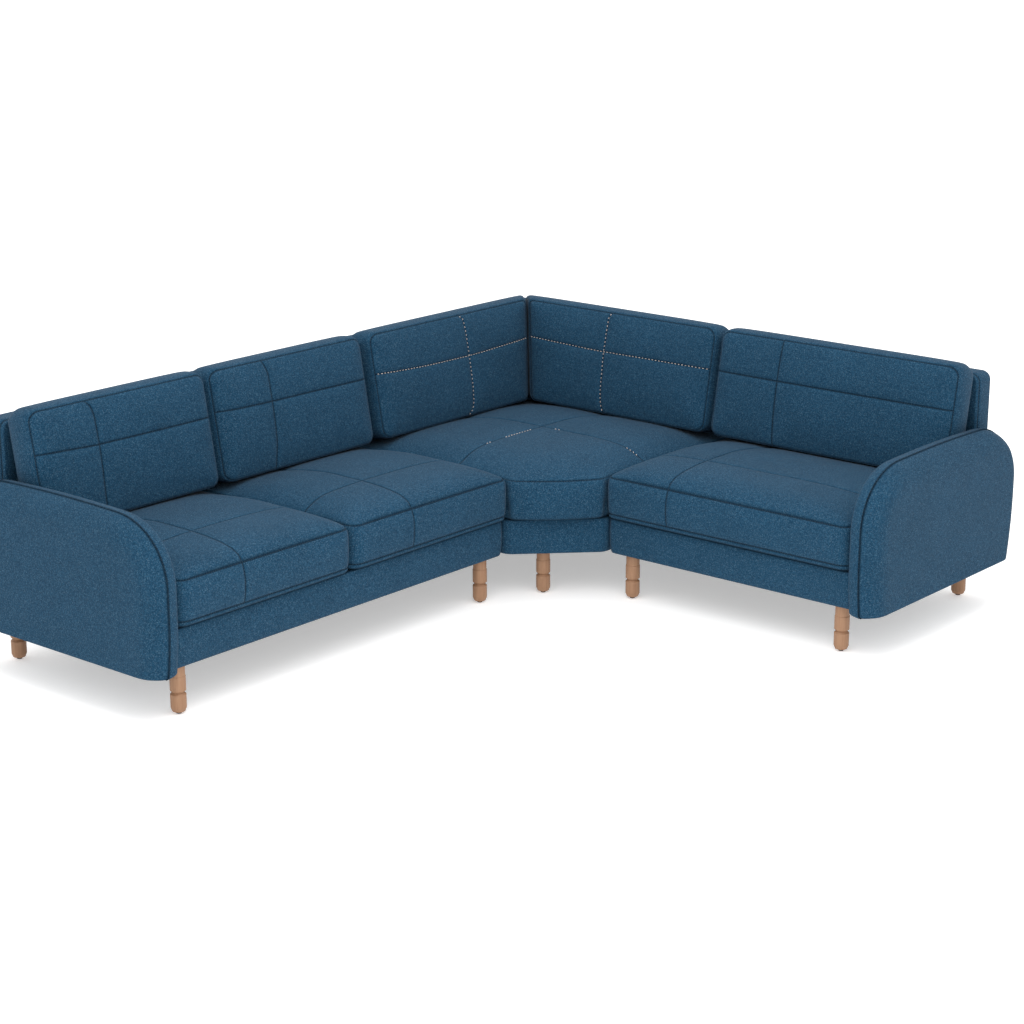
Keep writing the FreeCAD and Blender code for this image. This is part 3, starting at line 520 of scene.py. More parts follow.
def cloth(name, dark, mid, light, fleck, wear=1.0):
    """Heathered, felted wool-look cloth: mixed dark and light yarn, loose fibres, lighter crests that are partly wear
    and partly painted highlight, and painted shade along seams and folds.
    """
    k = Nodes(name)
    yarn = k.noise(290, 2.0, 0.55)
    clump = k.noise(210, 1.0, 0.5)
    broad = k.noise(6.5, 2.0, 0.5)
    fibre = k.noise(1.0, 1.0, 0.5, 0.3, at=k.scaled(300, 380, 380, (0.4, 0.7, 0.3)))
    fibre2 = k.noise(1.0, 1.0, 0.5, 0.3, at=k.scaled(390, 390, 310, (-0.5, 0.2, 0.9)))
    t = k.math("ADD", k.math("MULTIPLY", yarn, 0.62), k.math("MULTIPLY", clump, 0.38))
    base = k.ramp(t, (0.36, dark), (0.50, mid), (0.64, light))
    both = k.math("MAXIMUM", fibre, fibre2)
    spots = k.map(both, 0.60, 0.72, 0.0, 0.54, True)
    base = k.mix(spots, base, fleck)
    shade = k.map(broad, 0.3, 0.7, 0.95, 1.05)
    tone = k.add("ShaderNodeMix", data_type="RGBA", blend_type="MULTIPLY")
    tone.inputs["Factor"].default_value = 1.0
    k.link(base, tone.inputs["A"])
    comb = k.add("ShaderNodeCombineColor")
    for i in range(3):
        k.link(shade, comb.inputs[i])
    k.link(comb.outputs[0], tone.inputs["B"])
    base = tone.outputs["Result"]
    seam = k.attribute("seam")
    crest = k.attribute("crest")
    # painted shade: seams and folds are darkened towards the dark yarn colour
    base = k.mix(k.math("MULTIPLY", seam, 0.82), base, tuple(c * 0.30 for c in dark))
    # lighter crests beside seams and rail edges: partly wear, partly painted highlight
    base = k.mix(k.math("MULTIPLY", crest, 0.02 * wear), base, tuple(min(1, c * 1.5 + 0.006) for c in light))
    k.link(base, k.bsdf.inputs["Base Color"])
    w = weave(k, 0.0021)
    fuzz = k.noise(900, 3.0, 0.7)
    high = k.math("ADD", k.math("MULTIPLY", w, 0.16),
                  k.math("ADD", k.math("MULTIPLY", fuzz, 0.7), k.math("MULTIPLY", yarn, 0.9)))
    soft = k.noise(22, 2.0, 0.5)
    n1 = k.bump(soft, 0.12, 0.004)
    n2 = k.bump(high, 0.42, 0.0011, n1)
    k.link(n2, k.bsdf.inputs["Normal"])
    k.link(k.map(yarn, 0.3, 0.7, 0.97, 0.82), k.bsdf.inputs["Roughness"])
    k.bsdf.inputs["Specular IOR Level"].default_value = 0.12
    k.link(k.map(seam, 0.0, 0.7, 0.045, 0.0), k.bsdf.inputs["Sheen Weight"])
    k.bsdf.inputs["Sheen Roughness"].default_value = 0.45
    k.bsdf.inputs["Sheen Tint"].default_value = (1.0, 0.88, 0.78, 1)
    return k.m


def thread(name, colour, other, sheen):
    k = Nodes(name)
    twist = k.noise(1.0, 1.0, 0.5, at=k.scaled(900, 900, 900))
    k.link(k.mix(k.map(twist, 0.35, 0.65, 0, 1), colour, other), k.bsdf.inputs["Base Color"])
    k.link(k.bump(twist, 0.5, 0.0004), k.bsdf.inputs["Normal"])
    k.link(k.map(twist, 0.3, 0.7, 0.75, 0.5), k.bsdf.inputs["Roughness"])
    k.bsdf.inputs["Sheen Weight"].default_value = sheen
    return k.m


def wood(name, low, mid, high, rough=(0.48, 0.62), along=2, bump=0.25):
    """Straight-grained light timber, the grain along one axis."""
    k = Nodes(name)
    s = [115.0, 115.0, 115.0]
    s[along] = 6.0
    grain = k.noise(1.0, 4.0, 0.6, 0.6, at=k.scaled(*s))
    s2 = [520.0, 520.0, 520.0]
    s2[along] = 16.0
    pore = k.noise(1.0, 3.0, 0.65, 0.2, at=k.scaled(*s2))
    wide = k.noise(9.0, 2.0, 0.5)
    t = k.math("ADD", k.math("MULTIPLY", grain, 0.7), k.math("MULTIPLY", wide, 0.3))
    base = k.ramp(t, (0.34, low), (0.5, mid), (0.68, high))
    dots = k.map(pore, 0.60, 0.72, 0.0, 0.38, True)
    base = k.mix(dots, base, tuple(c * 0.62 for c in low))
    k.link(base, k.bsdf.inputs["Base Color"])
    k.link(k.map(grain, 0.3, 0.7, *rough), k.bsdf.inputs["Roughness"])
    h = k.math("ADD", grain, k.math("MULTIPLY", pore, -0.7))
    k.link(k.bump(h, bump, 0.0006), k.bsdf.inputs["Normal"])
    k.bsdf.inputs["Specular IOR Level"].default_value = 0.35
    return k.m


def metal(name, colour):
    k = Nodes(name)
    brush = k.noise(1.0, 3.0, 0.6, at=k.scaled(30, 800, 800))
    spot = k.noise(120, 3.0, 0.6)
    k.link(k.mix(k.map(spot, 0.35, 0.65, 0, 0.5), colour, tuple(c * 0.72 for c in colour)), k.bsdf.inputs["Base Color"])
    k.bsdf.inputs["Metallic"].default_value = 1.0
    k.link(k.map(brush, 0.3, 0.7, 0.30, 0.52), k.bsdf.inputs["Roughness"])
    k.link(k.bump(brush, 0.2, 0.0002), k.bsdf.inputs["Normal"])
    return k.m


def plain_soft(name, low, high, scale, bump, stripes=0.0):
    """Foam, webbing and dust cloth: a fine two-tone texture."""
    k = Nodes(name)
    cell = k.noise(scale, 3.0, 0.65)
    base = k.ramp(cell, (0.35, low), (0.65, high))
    h = cell
    if stripes:
        w = weave(k, stripes)
        base = k.mix(k.map(w, -1.5, 1.5, 0.0, 0.35), base, tuple(c * 0.55 for c in low))
        h = k.math("ADD", cell, k.math("MULTIPLY", w, 0.3))
    k.link(base, k.bsdf.inputs["Base Color"])
    k.link(k.map(cell, 0.3, 0.7, 0.98, 0.85), k.bsdf.inputs["Roughness"])
    k.link(k.bump(h, bump, 0.0012), k.bsdf.inputs["Normal"])
    k.bsdf.inputs["Specular IOR Level"].default_value = 0.15
    return k.m


BLUE_DARK = (0.0036, 0.0262, 0.0562)
BLUE_MID = (0.0072, 0.0410, 0.0824)
BLUE_LIGHT = (0.0162, 0.0660, 0.1195)
BLUE_FLECK = (0.0900, 0.1680, 0.2350)
BLUE = cloth("blue_heather_cloth", BLUE_DARK, BLUE_MID, BLUE_LIGHT, BLUE_FLECK)
THREAD_BLUE = thread("thread_blue", (0.0036, 0.018, 0.037), (0.0080, 0.030, 0.056), 0.01)
THREAD_LIGHT = thread("thread_light", (0.80, 0.70, 0.66), (0.64, 0.55, 0.52), 0.1)
LEG = wood("turned_light_hardwood", (0.258, 0.136, 0.075), (0.304, 0.167, 0.094), (0.355, 0.204, 0.120))
PINE = wood("planed_softwood", (0.52, 0.33, 0.15), (0.64, 0.44, 0.22), (0.74, 0.55, 0.31), (0.6, 0.8), 0, 0.3)
STEEL = metal("zinc_plated_steel", (0.62, 0.63, 0.65))
GLIDE = plain_soft("grey_plastic_glide", (0.035, 0.035, 0.037), (0.055, 0.055, 0.058), 240, 0.15)
FOAM = plain_soft("cushion_foam", (0.80, 0.76, 0.60), (0.93, 0.90, 0.78), 420, 0.5)
WEB = plain_soft("elastic_webbing_weave", (0.020, 0.018, 0.016), (0.05, 0.045, 0.04), 300, 0.5, 0.003)
DUST = plain_soft("nonwoven_dust_cloth", (0.008, 0.008, 0.009), (0.024, 0.024, 0.027), 500, 0.4, 0.0024)


# ---- soft forms ----------------------------------------------------------------------

ALPHA = math.radians(10.4)
SA, CA = math.sin(ALPHA), math.cos(ALPHA)


def on_left(p):
    return np.stack([p[:, 0], p[:, 1], p[:, 2]], -1)


def on_right(p):
    return np.stack([p[:, 1], p[:, 0], p[:, 2]], -1)


side_factor = lambda ox, oy, lo_x, hi_x, lo_y, hi_y: (
    np.where(ox < 0, lo_x, hi_x) * ox * ox + np.where(oy < 0, lo_y, hi_y) * oy * oy)

front_rise = curve((0, .15), (4, .24), (14, .42), (46, .73), (95, .90), (150, .97), (211, 1.0), (2000, 1.0))
side_rise = curve((0, .12), (6, .20), (27, .44), (52, .64), (80, .79), (120, .88), (180, .945), (250, .985), (330, 1.0), (2000, 1.0))
rear_fall = curve((0, .06), (60, .18), (145, .40), (212, .65), (300, .88), (388, 1.0), (2000, 1.0))
lip = curve((0, 0), (1.5, .38), (3.5, .68), (8, .93), (13, 1.0), (2000, 1.0))

seat_out = curve((0, 0), (5, 4.2), (14, 7.6), (36, 10.2), (80, 9.6), (110, 7.4), (123, 5.2), (128, 4.6), (134, 0.8), (141, -8.0))
seat_down = curve((0, 0), (5, 3.4), (14, 11.5), (36, 33), (80, 77), (110, 107), (123, 121), (128, 126.4), (134, 132.6), (141, 138.5))


def seat_form(name, wing, a0, a1, cross, seam_z=410.0, mid=193.0, radii=(38, 25, 26, 26)):
    x0, x1, y0, y1 = a0, a1, -17.0, 706.0
    nudge = curve((-20, 0.0), (60, -9.0), (193, 0.0), (400, 6.0), (706, 8.0))

    def outline(X, Y):
        u, v = rounded_square(X, Y, x0, x1, y0, y1, radii)
        # the front-to-back seam isn't quite straight
        near = np.exp(-((X - cross) / 120.0) ** 2)
        return u + nudge(v) * near * 0.6, v

    def face(u, v, d):
        rise = (front_rise(v - y0) * rear_fall(y1 - v) * side_rise(u - x0) * side_rise(x1 - u))
        return seam_z + 55.0 * rise * lip(d)

    def back(u, v, d):
        return 271.5 + 0 * u

    def ring(w, bu, bv, ox, oy):
        f = side_factor(ox, oy, 0.42, 0.42, 1.0, 0.5)
        return seat_out(w) * f, seam_z - seat_down(w)

    world = on_left if wing == "left" else on_right
    # the fold setting paints shade on the lowest rings, where the cushion tucks under onto the deck
    return Form(name, (x0, x1, y0, y1), outline, face, back, ring, world, 141.0,
                cross_x=(cross,), cross_y=(mid,), ring_seams=(123.0,), fold=(None, 131, 138, 0.9), back_out=-8.0,
                side_lines=((0, "x", cross, 0.0, 123.0),))


CUT = 218.0


def corner_seat_form(name):
    x0 = y0 = -236.5
    x1 = y1 = 704.0

    def outline(X, Y):
        return rounded_square(X, Y, x0, x1, y0, y1, (CUT, 24, 26, 24), (1.28, 2, 2, 2))

    rise_in = curve((0, .10), (8, .20), (24, .34), (60, .63), (100, .83), (160, .95), (250, 1.0), (2000, 1.0))
    fall = curve((0, .06), (100, .34), (200, .70), (300, .93), (400, 1.0), (2000, 1.0))

    def face(u, v, d):
        slant = (u + v + 292.0) / math.sqrt(2)
        rise = (rise_in(u - x0) * rise_in(v - y0) * rise_in(np.maximum(slant, 0)) *
                fall(x1 - u) * fall(y1 - v))
        return 405.0 + 59.0 * rise * lip(d)

    def back(u, v, d):
        return 271.5 + 0 * u

    down = curve((0, 0), (5, 3.4), (14, 11.5), (36, 33), (80, 77), (112, 110), (124, 122), (131, 128), (137, 133.5))
    out = curve((0, 0), (5, 3.8), (14, 7.0), (36, 9.4), (80, 9.4), (108, 7.4), (122, 4.8), (130, 2.2), (137, -7.0))

    def ring(w, bu, bv, ox, oy):
        slanted = np.clip(-(ox + oy) / math.sqrt(2), 0, 1)
        front = smooth((slanted - 0.72) / 0.22)
        f = np.where((ox > 0.5) | (oy > 0.5), 0.4, 0.28 + 0.72 * front)
        # beside the outer modules it tucks in low down, clear of their base covers as they lift
        tuck = -8.5 * smooth((w - 55.0) / 32.0) * (1 - front) * ((ox < -0.3) | (oy < -0.3))
        return out(w) * f + tuck, 405.0 - down(w)

    # the fold setting paints shade on the lowest rings, where the cushion tucks under onto the deck
    return Form(name, (x0, x1, y0, y1), outline, face, back, ring, on_left, 137.0,
                cross_x=(204.0,), cross_y=(205.0,), fold=(None, 130, 137, 0.95), back_out=-10.0)


back_out = curve((0, 0), (5, 4.0), (16, 8.4), (36, 12.2), (60, 13.6), (84, 12.0), (104, 6.6), (116, 0.8), (121, -2.0))
back_deep = curve((0, 0), (5, -3.0), (16, -13), (36, -32), (60, -56), (84, -79), (104, -97), (116, -106), (121, -109))


def back_form(name, wing, a0, a1, cross, bend, level, tilt_level, mitred=False, sides=(0.6, 0.9),
              radii=(34, 34, 34, 34), tall=353.0, wrap=(11.0, 4.0)):
    """bend is the upright seam's (height, shift), level the crossing seam's height and
    tilt_level its (along, shift)."""
    x0, x1, y0, y1 = a0, a1, 0.0, tall
    shift_x = curve(*bend)
    shift_y = curve(*tilt_level)
    crown = curve((0, 0), (4, 2.6), (14, 5.6), (40, 8.8), (90, 11.2), (150, 12.0), (2000, 12.0))
    rear = curve((0, 0), (10, -3.5), (30, -6.8), (70, -8.6), (2000, -8.6))

    def outline(X, Y):
        u, v = rounded_square(X, Y, x0, x1, y0, y1, radii)
        wx = np.exp(-((X - cross) / 110.0) ** 2) * smooth((X - x0) / 60) * smooth((x1 - X) / 60)
        wy = np.exp(-((Y - level) / 80.0) ** 2) * smooth((Y - y0) / 40) * smooth((y1 - Y) / 40)
        return u + shift_x(v) * wx, v + shift_y(u) * wy

    def set_back(u):
        # the front panel wraps round the cushion's ends a little
        return wrap[0] * np.exp(-((u - x0) / 17.0) ** 2) + wrap[1] * np.exp(-((x1 - u) / 17.0) ** 2)

    def face(u, v, d):
        return crown(d) - set_back(u)

    def back(u, v, d):
        return -109.0 + rear(d)

    def ring(w, bu, bv, ox, oy):
        f = side_factor(ox, oy, sides[0], sides[1], 0.3, 1.0)
        return back_out(w) * f, back_deep(w) - set_back(bu) * (1 - smooth(w / 62.0))

    def world(p):
        a, q, n = p[:, 0], p[:, 1], p[:, 2]
        d = 531.0 + q * SA - n * CA
        z = 449.0 + q * CA + n * SA
        if mitred:
            a = a + (d - 563.0) * np.clip((a - 290.0) / (x1 - 6.0 - 290.0), 0, 1)
        return np.stack([a, d, z] if wing == "left" else [d, a, z], -1)

    # the fold setting paints shade on the bottom side, under the back cushion
    return Form(name, (x0, x1, y0, y1), outline, face, back, ring, world, 121.0,
                cross_x=(cross,), cross_y=(level,), back_out=-2.0, fold=(0, 12, 40, 0.7))


forms = [
    (seat_form("left_seat_cushion_a", "left", -1657.0, -966.0, -1412.0, radii=(38, 38, 26, 26)), "left_seat_cushion_a"),
    (seat_form("left_seat_cushion_b", "left", -956.0, -246.5, -697.0), "left_seat_cushion_b"),
    (seat_form("right_seat_cushion", "right", -1157.0, -247.5, -489.5, mid=192.0), "right_seat_cushion"),
    (corner_seat_form("corner_seat_cushion"), "corner_seat_cushion"),
]
z_to_q = lambda z: (z - 449.0) / CA
q_at = lambda *pts: tuple((z_to_q(z), s) for z, s in pts)
forms += [
    (back_form("left_back_cushion_a", "left", -1656.0, -979.0, -1431.0,
               q_at((455, -6), (503, -6), (600, -2), (669, 0), (740, 0), (770, -5), (788, -16), (801, -34)),
               z_to_q(663), ((-1656, 9), (-1560, 5), (-1430, -1), (-1200, -2), (-986, -2))), "left_back_cushion_a"),
    (back_form("left_back_cushion_b", "left", -950.0, -277.0, -720.0,
               q_at((455, -18), (472, -16), (550, -2), (662, 2), (744, 3), (785, -8), (801, -15)),
               z_to_q(663), ((-955, 7), (-850, 2), (-719, 0), (-500, -1), (-277, -3))), "left_back_cushion_b"),
    (back_form("corner_back_cushion_left", "left", -229.0, 555.0, 228.0,
               q_at((445, -40), (458, -22), (478, -6), (511, 0), (580, 4), (653, 5), (740, 6), (778, 5), (799, -20)),
               z_to_q(657), ((-229, 9), (-100, 2), (60, -3), (235, -4), (420, 2), (555, 7)), True,
               (0.7, 0.45), (34, 20, 20, 34), wrap=(3.0, 0.0)), "corner_back_cushion_left"),
    (back_form("corner_back_cushion_right", "right", -229.0, 555.0, 214.0,
               q_at((447, -18), (470, -10), (522, -1), (600, 2), (660, 4), (740, 3), (776, 3), (800, -8)),
               z_to_q(662), ((-229, -1), (0, -1), (218, -2), (420, 3), (555, 7)), True,
               (0.7, 0.45), (34, 20, 20, 34), wrap=(3.0, 0.0)), "corner_back_cushion_right"),
    (back_form("right_back_cushion", "right", -1157.0, -260.0, -508.0,
               q_at((450, -6), (465, -5), (560, 0), (661, 2), (801, 0)),
               z_to_q(661), ((-1157, 0), (-500, 0), (-260, 1))), "right_back_cushion"),
]

# Each form fills out from inside a little, held along its seams.
CAPS = {"seat": 5.0, "back": 5.5}


def settle():
    made = []
    for form, body in forms:
        g, p = form.coarse()
        w = form.world(p)
        quads = g.quads if volume_of(w, g.quads) > 0 else g.quads[:, ::-1]
        ob = mesh_object("settling_" + form.name, w, quads, [])
        hold = form.pinned(g)
        group = ob.vertex_groups.new(name="held")
        group.add([int(i) for i in np.nonzero(hold)[0]], 1.0, "REPLACE")
        c = ob.modifiers.new("cloth", "CLOTH").settings
        c.quality = 4
        c.mass = 0.3
        c.tension_stiffness = c.compression_stiffness = 18
        c.shear_stiffness = 8
        c.bending_stiffness = 0.6
        c.use_pressure = True
        c.uniform_pressure_force = 4.0
        c.vertex_group_mass = "held"
        c.effector_weights.gravity = 0
        c.time_scale = 1.0
        cl = ob.modifiers["cloth"].collision_settings
        cl.use_collision = False
        cl.use_self_collision = False
        made.append((form, g, w, ob))
    for f in range(1, 21):
        scene.frame_set(f)
    dg = bpy.context.evaluated_depsgraph_get()
    for form, g, w, ob in made:
        e = ob.evaluated_get(dg)
        co = np.zeros(len(e.data.vertices) * 3, np.float32)
        e.data.vertices.foreach_get("co", co)
        now = co.reshape(-1, 3).astype(float) / MM
        now[:, 0] -= INNER[0]
        now[:, 1] -= INNER[1]
        moved = now - w
        size = np.linalg.norm(moved, axis=1)
        cap = CAPS["back" if "back" in form.name else "seat"]
        moved *= (cap * np.tanh(size / cap) / np.maximum(size, 1e-9))[:, None]
        form.moved = (g, moved)
    for _, _, _, ob in made:
        me = ob.data
        bpy.data.objects.remove(ob)
        bpy.data.meshes.remove(me)
    scene.frame_set(1)


if SETTLE:
    settle()


def finish_form(form, body, replaced, slot="upholstery", fill=0.6, light=(), material=None, stitched=True):
    h = form.grid(True)
    local = form.points(h)
    w = form.world(local)
    if form.moved is not None:
        w = w + form.spread(form.moved[0], h, form.moved[1])
    flip = volume_of(w, h.quads) < 0
    quads = h.quads[:, ::-1] if flip else h.quads
    n = normals_of(w, quads)
    # sewn grooves
    away = np.full(h.count, 99.0)
    depth = form.groove
    face_gap = form.face_gap
    if form.edge_seam:
        away[h.face.ravel()] = np.minimum(away[h.face.ravel()], face_gap.ravel())
        for k in range(1, len(h.ws) - 1):
            away[h.rings[k]] = np.minimum(away[h.rings[k]], h.ws[k])
    X, Y = np.meshgrid(h.xs, h.ys, indexing="ij")
    for s in form.cross_x:
        away[h.face.ravel()] = np.minimum(away[h.face.ravel()], np.abs(X - s).ravel())
    for s in form.cross_y:
        away[h.face.ravel()] = np.minimum(away[h.face.ravel()], np.abs(Y - s).ravel())
    for s in form.ring_seams:
        for k in range(1, len(h.ws) - 1):
            away[h.rings[k]] = np.minimum(away[h.rings[k]], abs(h.ws[k] - s))
    for side, axis, s, w0, w1 in form.side_lines:
        on = np.nonzero(h.side == side)[0]
        along = h.xs[h.li[on]] if axis == "x" else h.ys[h.lj[on]]
        for k in range(len(h.ws)):
            if w0 <= h.ws[k] <= w1:
                ids = h.rings[k][on]
                away[ids] = np.minimum(away[ids], np.abs(along - s))
    away[h.back.ravel()[~np.isin(h.back.ravel(), h.rings[-1])]] = 99.0
    w2 = w + n * dent(away, depth)[:, None]
    # painted shade in the sewn grooves: the seam mark darkens the cloth along every seam
    seam = np.exp(-(away / 2.3) ** 2)
    if form.fold is not None:
        # painted shade where a cushion tucks under itself: the cloth there lies in shade and pressed together
        side, lo, hi, most = form.fold
        for k in range(len(h.ws)):
            ids = h.rings[k][(h.side == side)] if side is not None else h.rings[k]
            seam[ids] = np.maximum(seam[ids], most * smooth((h.ws[k] - lo) / (hi - lo)))
    # lighter crests 6 mm beside each seam: partly wear, partly painted highlight
    crest = 0.6 * np.exp(-((away - 6.0) / 3.5) ** 2)
    verts, faces, index = [w2], [tuple(q) for q in quads], [0] * len(quads)
    seams, crests = [seam], [crest]
    total = h.count

    def sew(ids, kind, closed=False, **opts):
        nonlocal total
        ids = np.append(ids, ids[0]) if closed else ids
        v, q = stitches(w2[ids], n[ids], **opts)
        if not len(v):
            return
        faces.extend(tuple(r + total for r in row) for row in q)
        cs = caps(v)
        faces.extend(tuple(i + total for i in row) for row in cs)
        index.extend([kind] * (len(q) + len(cs)))
        verts.append(v)
        seams.append(np.zeros(len(v)))
        crests.append(np.zeros(len(v)))
        total += len(v)

    if stitched:
        dark = dict(length=6.0, gap=2.6, radius=0.55, lift=0.5)
        bright = dict(length=5.0, gap=9.0, radius=1.1, lift=2.2)
        for key, at, marks in (("x", h.ys, form.cross_x), ("y", h.xs, form.cross_y)):
            for s in marks:
                ids = (h.face[np.abs(h.xs - s).argmin(), :] if key == "x"
                       else h.face[:, np.abs(h.ys - s).argmin()])
                lit = [r for r in light if r[0] == key]
                if not lit or lit[0][1:] != (-9999, 9999):
                    sew(ids, 1, **dark)
                for _, lo, hi in lit:
                    on = (at >= lo) & (at <= hi)
                    if on.sum() > 1:
                        sew(ids[on], 2, **bright)
        if form.edge_seam:
            sew(h.rings[0], 1, True, **dark)
        for s in form.ring_seams:
            sew(h.rings[np.abs(h.ws - s).argmin()], 1, True, **dark)
        for side, axis, s, w0, w1 in form.side_lines:
            on = np.nonzero(h.side == side)[0]
            along = h.xs[h.li[on]] if axis == "x" else h.ys[h.lj[on]]
            l = on[np.abs(along - s).argmin()]
            rows = [k for k in range(len(h.ws)) if w0 <= h.ws[k] <= w1]
            sew(h.rings[rows, l], 1, **dark)
    ob = mesh_object(form.name + "_soft", np.vstack(verts), faces,
                     [material or BLUE, THREAD_BLUE, THREAD_LIGHT], index,
                     {"seam": np.concatenate(seams), "crest": np.concatenate(crests)})
    place(ob, body, replaced, slot, fill)
    return ob


for form, body in forms:
    light = ()
    if form.name.startswith("corner_back"):
        light = (("x", -9999, 9999), ("y", -9999, 9999))
    elif form.name == "corner_seat_cushion":
        light = (("y", -96, -52), ("y", 2, 148), ("x", 112, 160), ("x", -214, -140))
    finish_form(form, body, (form.name, form.name + "_foam"), light=light,
                fill=0.75 if "back" in form.name else 0.8)


# ---- arms ----------------------------------------------------------------------------

def arm_outline(X, Y):
    x0, x1, y0, y1 = -33.0, 849.0, 134.0, 597.0
    u, v = rounded_square(X, Y, x0, x1, y0, y1, (12, 12, 190, 200), (2, 2, 2.05, 2.05))
    low = np.clip((300 - v) / 166, 0, 1) ** 2
    u = u + 13.0 * low * np.clip((250 - u) / 280, 0, 1)
    low = np.clip((365 - v) / 231, 0, 1) ** 2
    u = u - 22.0 * low * np.clip((u - 560) / 289, 0, 1)
    v = v - 7.0 * ((u - 420) / 300) ** 2 * np.clip((v - 350) / 246, 0, 1) * np.exp(-((u - 420) / 420) ** 6)
    return u, v


def arm_forms(side, world):
    x0, x1, y0, y1 = -33.0, 849.0, 134.0, 597.0
    roll = lambda t: 1 - (1 - np.clip(t, 0, 1)) ** 3.1
    swell = curve((0, 0), (150, 1.2), (260, 2.2), (2000, 2.2))

    def outer(u, v, d):
        # the front and top edges roll wide, the back one tighter and the bottom one is crisp
        rear = smooth((u - 560.0) / 240.0)
        reach = 92.0 * (1 - rear) + 48.0 * rear
        wide = roll(d / reach)
        side_only = roll(np.clip(np.minimum(u + 33 - 13 * np.clip((300 - v) / 166, 0, 1) ** 2, 849 - u
                                            - 22 * np.clip((365 - v) / 231, 0, 1) ** 2), 0, None) / reach)
        tight = roll((v - 134.0 + 1.5) / 9.0)
        low = smooth((262 - v) / 110)
        mixed = wide * (1 - low) + side_only * tight * low
        return 43.5 + 49.5 * mixed + swell(d)

    def outer_back(u, v, d):
        return 43.5 - 2.0 * (1 - np.exp(-d / 3)) + 0 * u

    band_n = curve((0, 0), (4, -3.6), (14, -13.4), (24, -22.9), (34, -31.8), (42, -37.7), (50, -41.6), (56, -42.8))
    band_o = curve((0, 0), (4, -0.3), (14, -1.4), (24, -3.0), (34, -5.4), (42, -8.4), (50, -12.4), (56, -16.0))

    def inner_ring(w, bu, bv, ox, oy):
        return band_o(w), 43.0 + band_n(w)

    def inner_face(u, v, d):
        return 43.0 - 1.5 * (1 - np.exp(-d / 3)) + 0 * u

    def inner_back(u, v, d):
        return 0.2 + 0 * u

    def outer_ring(w, bu, bv, ox, oy):
        return 0 * w + 0.0, 43.5 + 0 * bu

    o = Form(side + "_arm_outer_cover", (x0, x1, y0, y1), arm_outline, outer, outer_back,
             outer_ring, world, 0.9, edge_seam=True, step=11.0,
             extra_edge=(36.0, 45.0, 55.0, 66.0, 8.0, 4.4), groove=2.2)
    i = Form(side + "_arm_inner_cover", (x0, x1, y0, y1), arm_outline, inner_face, inner_back,
             inner_ring, world, 56.0, edge_seam=True, step=14.0, back_out=-16.0, ring_step=4.0,
             groove=2.8)
    return o, i


def left_arm(p):
    return np.stack([-1665.0 - p[:, 2], p[:, 0], p[:, 1]], -1)


def right_arm(p):
    return np.stack([p[:, 0], -1165.0 - p[:, 2], p[:, 1]], -1)


for side, world in (("left", left_arm), ("right", right_arm)):
    o, i = arm_forms(side, world)
    finish_form(o, side + "_module", (o.name,), fill=0.9, stitched=False)
    finish_form(i, side + "_module", (i.name,), fill=0.9, stitched=True)


# ---- base and back covers, decks ------------------------------------------------------

def rounded_path(corners, step=14.0):
    """A closed line through corners given as (x, y, radius), with its outward directions."""
    pts = []
    n = len(corners)
    for k in range(n):
        p0 = np.array(corners[k - 1][:2], float)
        p1 = np.array(corners[k][:2], float)
        p2 = np.array(corners[(k + 1) % n][:2], float)
        r = corners[k][2]
        a, b = (p0 - p1) / np.linalg.norm(p0 - p1), (p2 - p1) / np.linalg.norm(p2 - p1)
        half = math.acos(np.clip(a @ b, -1, 1)) / 2
        cut = r / math.tan(half)
        s, e = p1 + a * cut, p1 + b * cut
        mid = (a + b) / np.linalg.norm(a + b)
        c = p1 + mid * r / math.sin(half)
        t0 = math.atan2(*(s - c)[::-1])
        t1 = math.atan2(*(e - c)[::-1])
        turn = (t1 - t0 + math.pi) % (2 * math.pi) - math.pi
        m = max(3, int(abs(turn) * r / 4.0))
        pts += [c + r * np.array([math.cos(t0 + turn * i / m), math.sin(t0 + turn * i / m)])
                for i in range(m + 1)]
    out = []
    for k in range(len(pts)):
        p, q = pts[k], pts[(k + 1) % len(pts)]
        m = max(1, int(np.linalg.norm(q - p) / step))
        out += [p + (q - p) * i / m for i in range(m)]
    line = np.array(out)
    t = np.roll(line, -1, 0) - np.roll(line, 1, 0)
    t /= np.linalg.norm(t, axis=1)[:, None]
    area = (line[:, 0] * np.roll(line[:, 1], -1) - np.roll(line[:, 0], -1) * line[:, 1]).sum()
    o = np.stack([t[:, 1], -t[:, 0]], -1) * (1 if area > 0 else -1)
    return line, o


def band(name, corners, profile, body, replaced, seams=(), fill=0.85):
    """An upholstered rail panel that runs round a plan, with rolled edges."""
    line, out = rounded_path(corners)
    prof = np.array(profile, float)
    n, m = len(line), len(prof)
    co = np.zeros((m, n, 3))
    for k, (o, z) in enumerate(prof):
        co[k, :, :2] = line + out * o
        co[k, :, 2] = z
    ids = np.arange(m * n).reshape(m, n)
    nx = np.roll(ids, -1, 1)
    ny = np.roll(ids, -1, 0)
    nxy = np.roll(nx, -1, 0)
    quads = np.stack([ids, ny, nxy, nx], -1).reshape(-1, 4)
    p = co.reshape(-1, 3)
    if volume_of(p, quads) < 0:
        quads = quads[:, ::-1]
    crest, fold = np.zeros((m, n)), np.zeros((m, n))
    for k, (o, z) in enumerate(prof):
        # lighter lines along the rail's top and bottom rolls: partly wear, partly painted highlight
        crest[k] = 0.5 * math.exp(-((z - 264) / 4.0) ** 2) + 0.5 * math.exp(-((z - 155) / 4.0) ** 2)
        # painted shade on the top roll, under the seat cushions
        fold[k] = 0.8 * smooth((z - 262.0) / 5.0)
    ob = mesh_object(name, p, quads, [BLUE], None,
                     {"seam": fold.ravel(), "crest": crest.ravel()})
    place(ob, body, replaced, "upholstery", fill)
    return ob


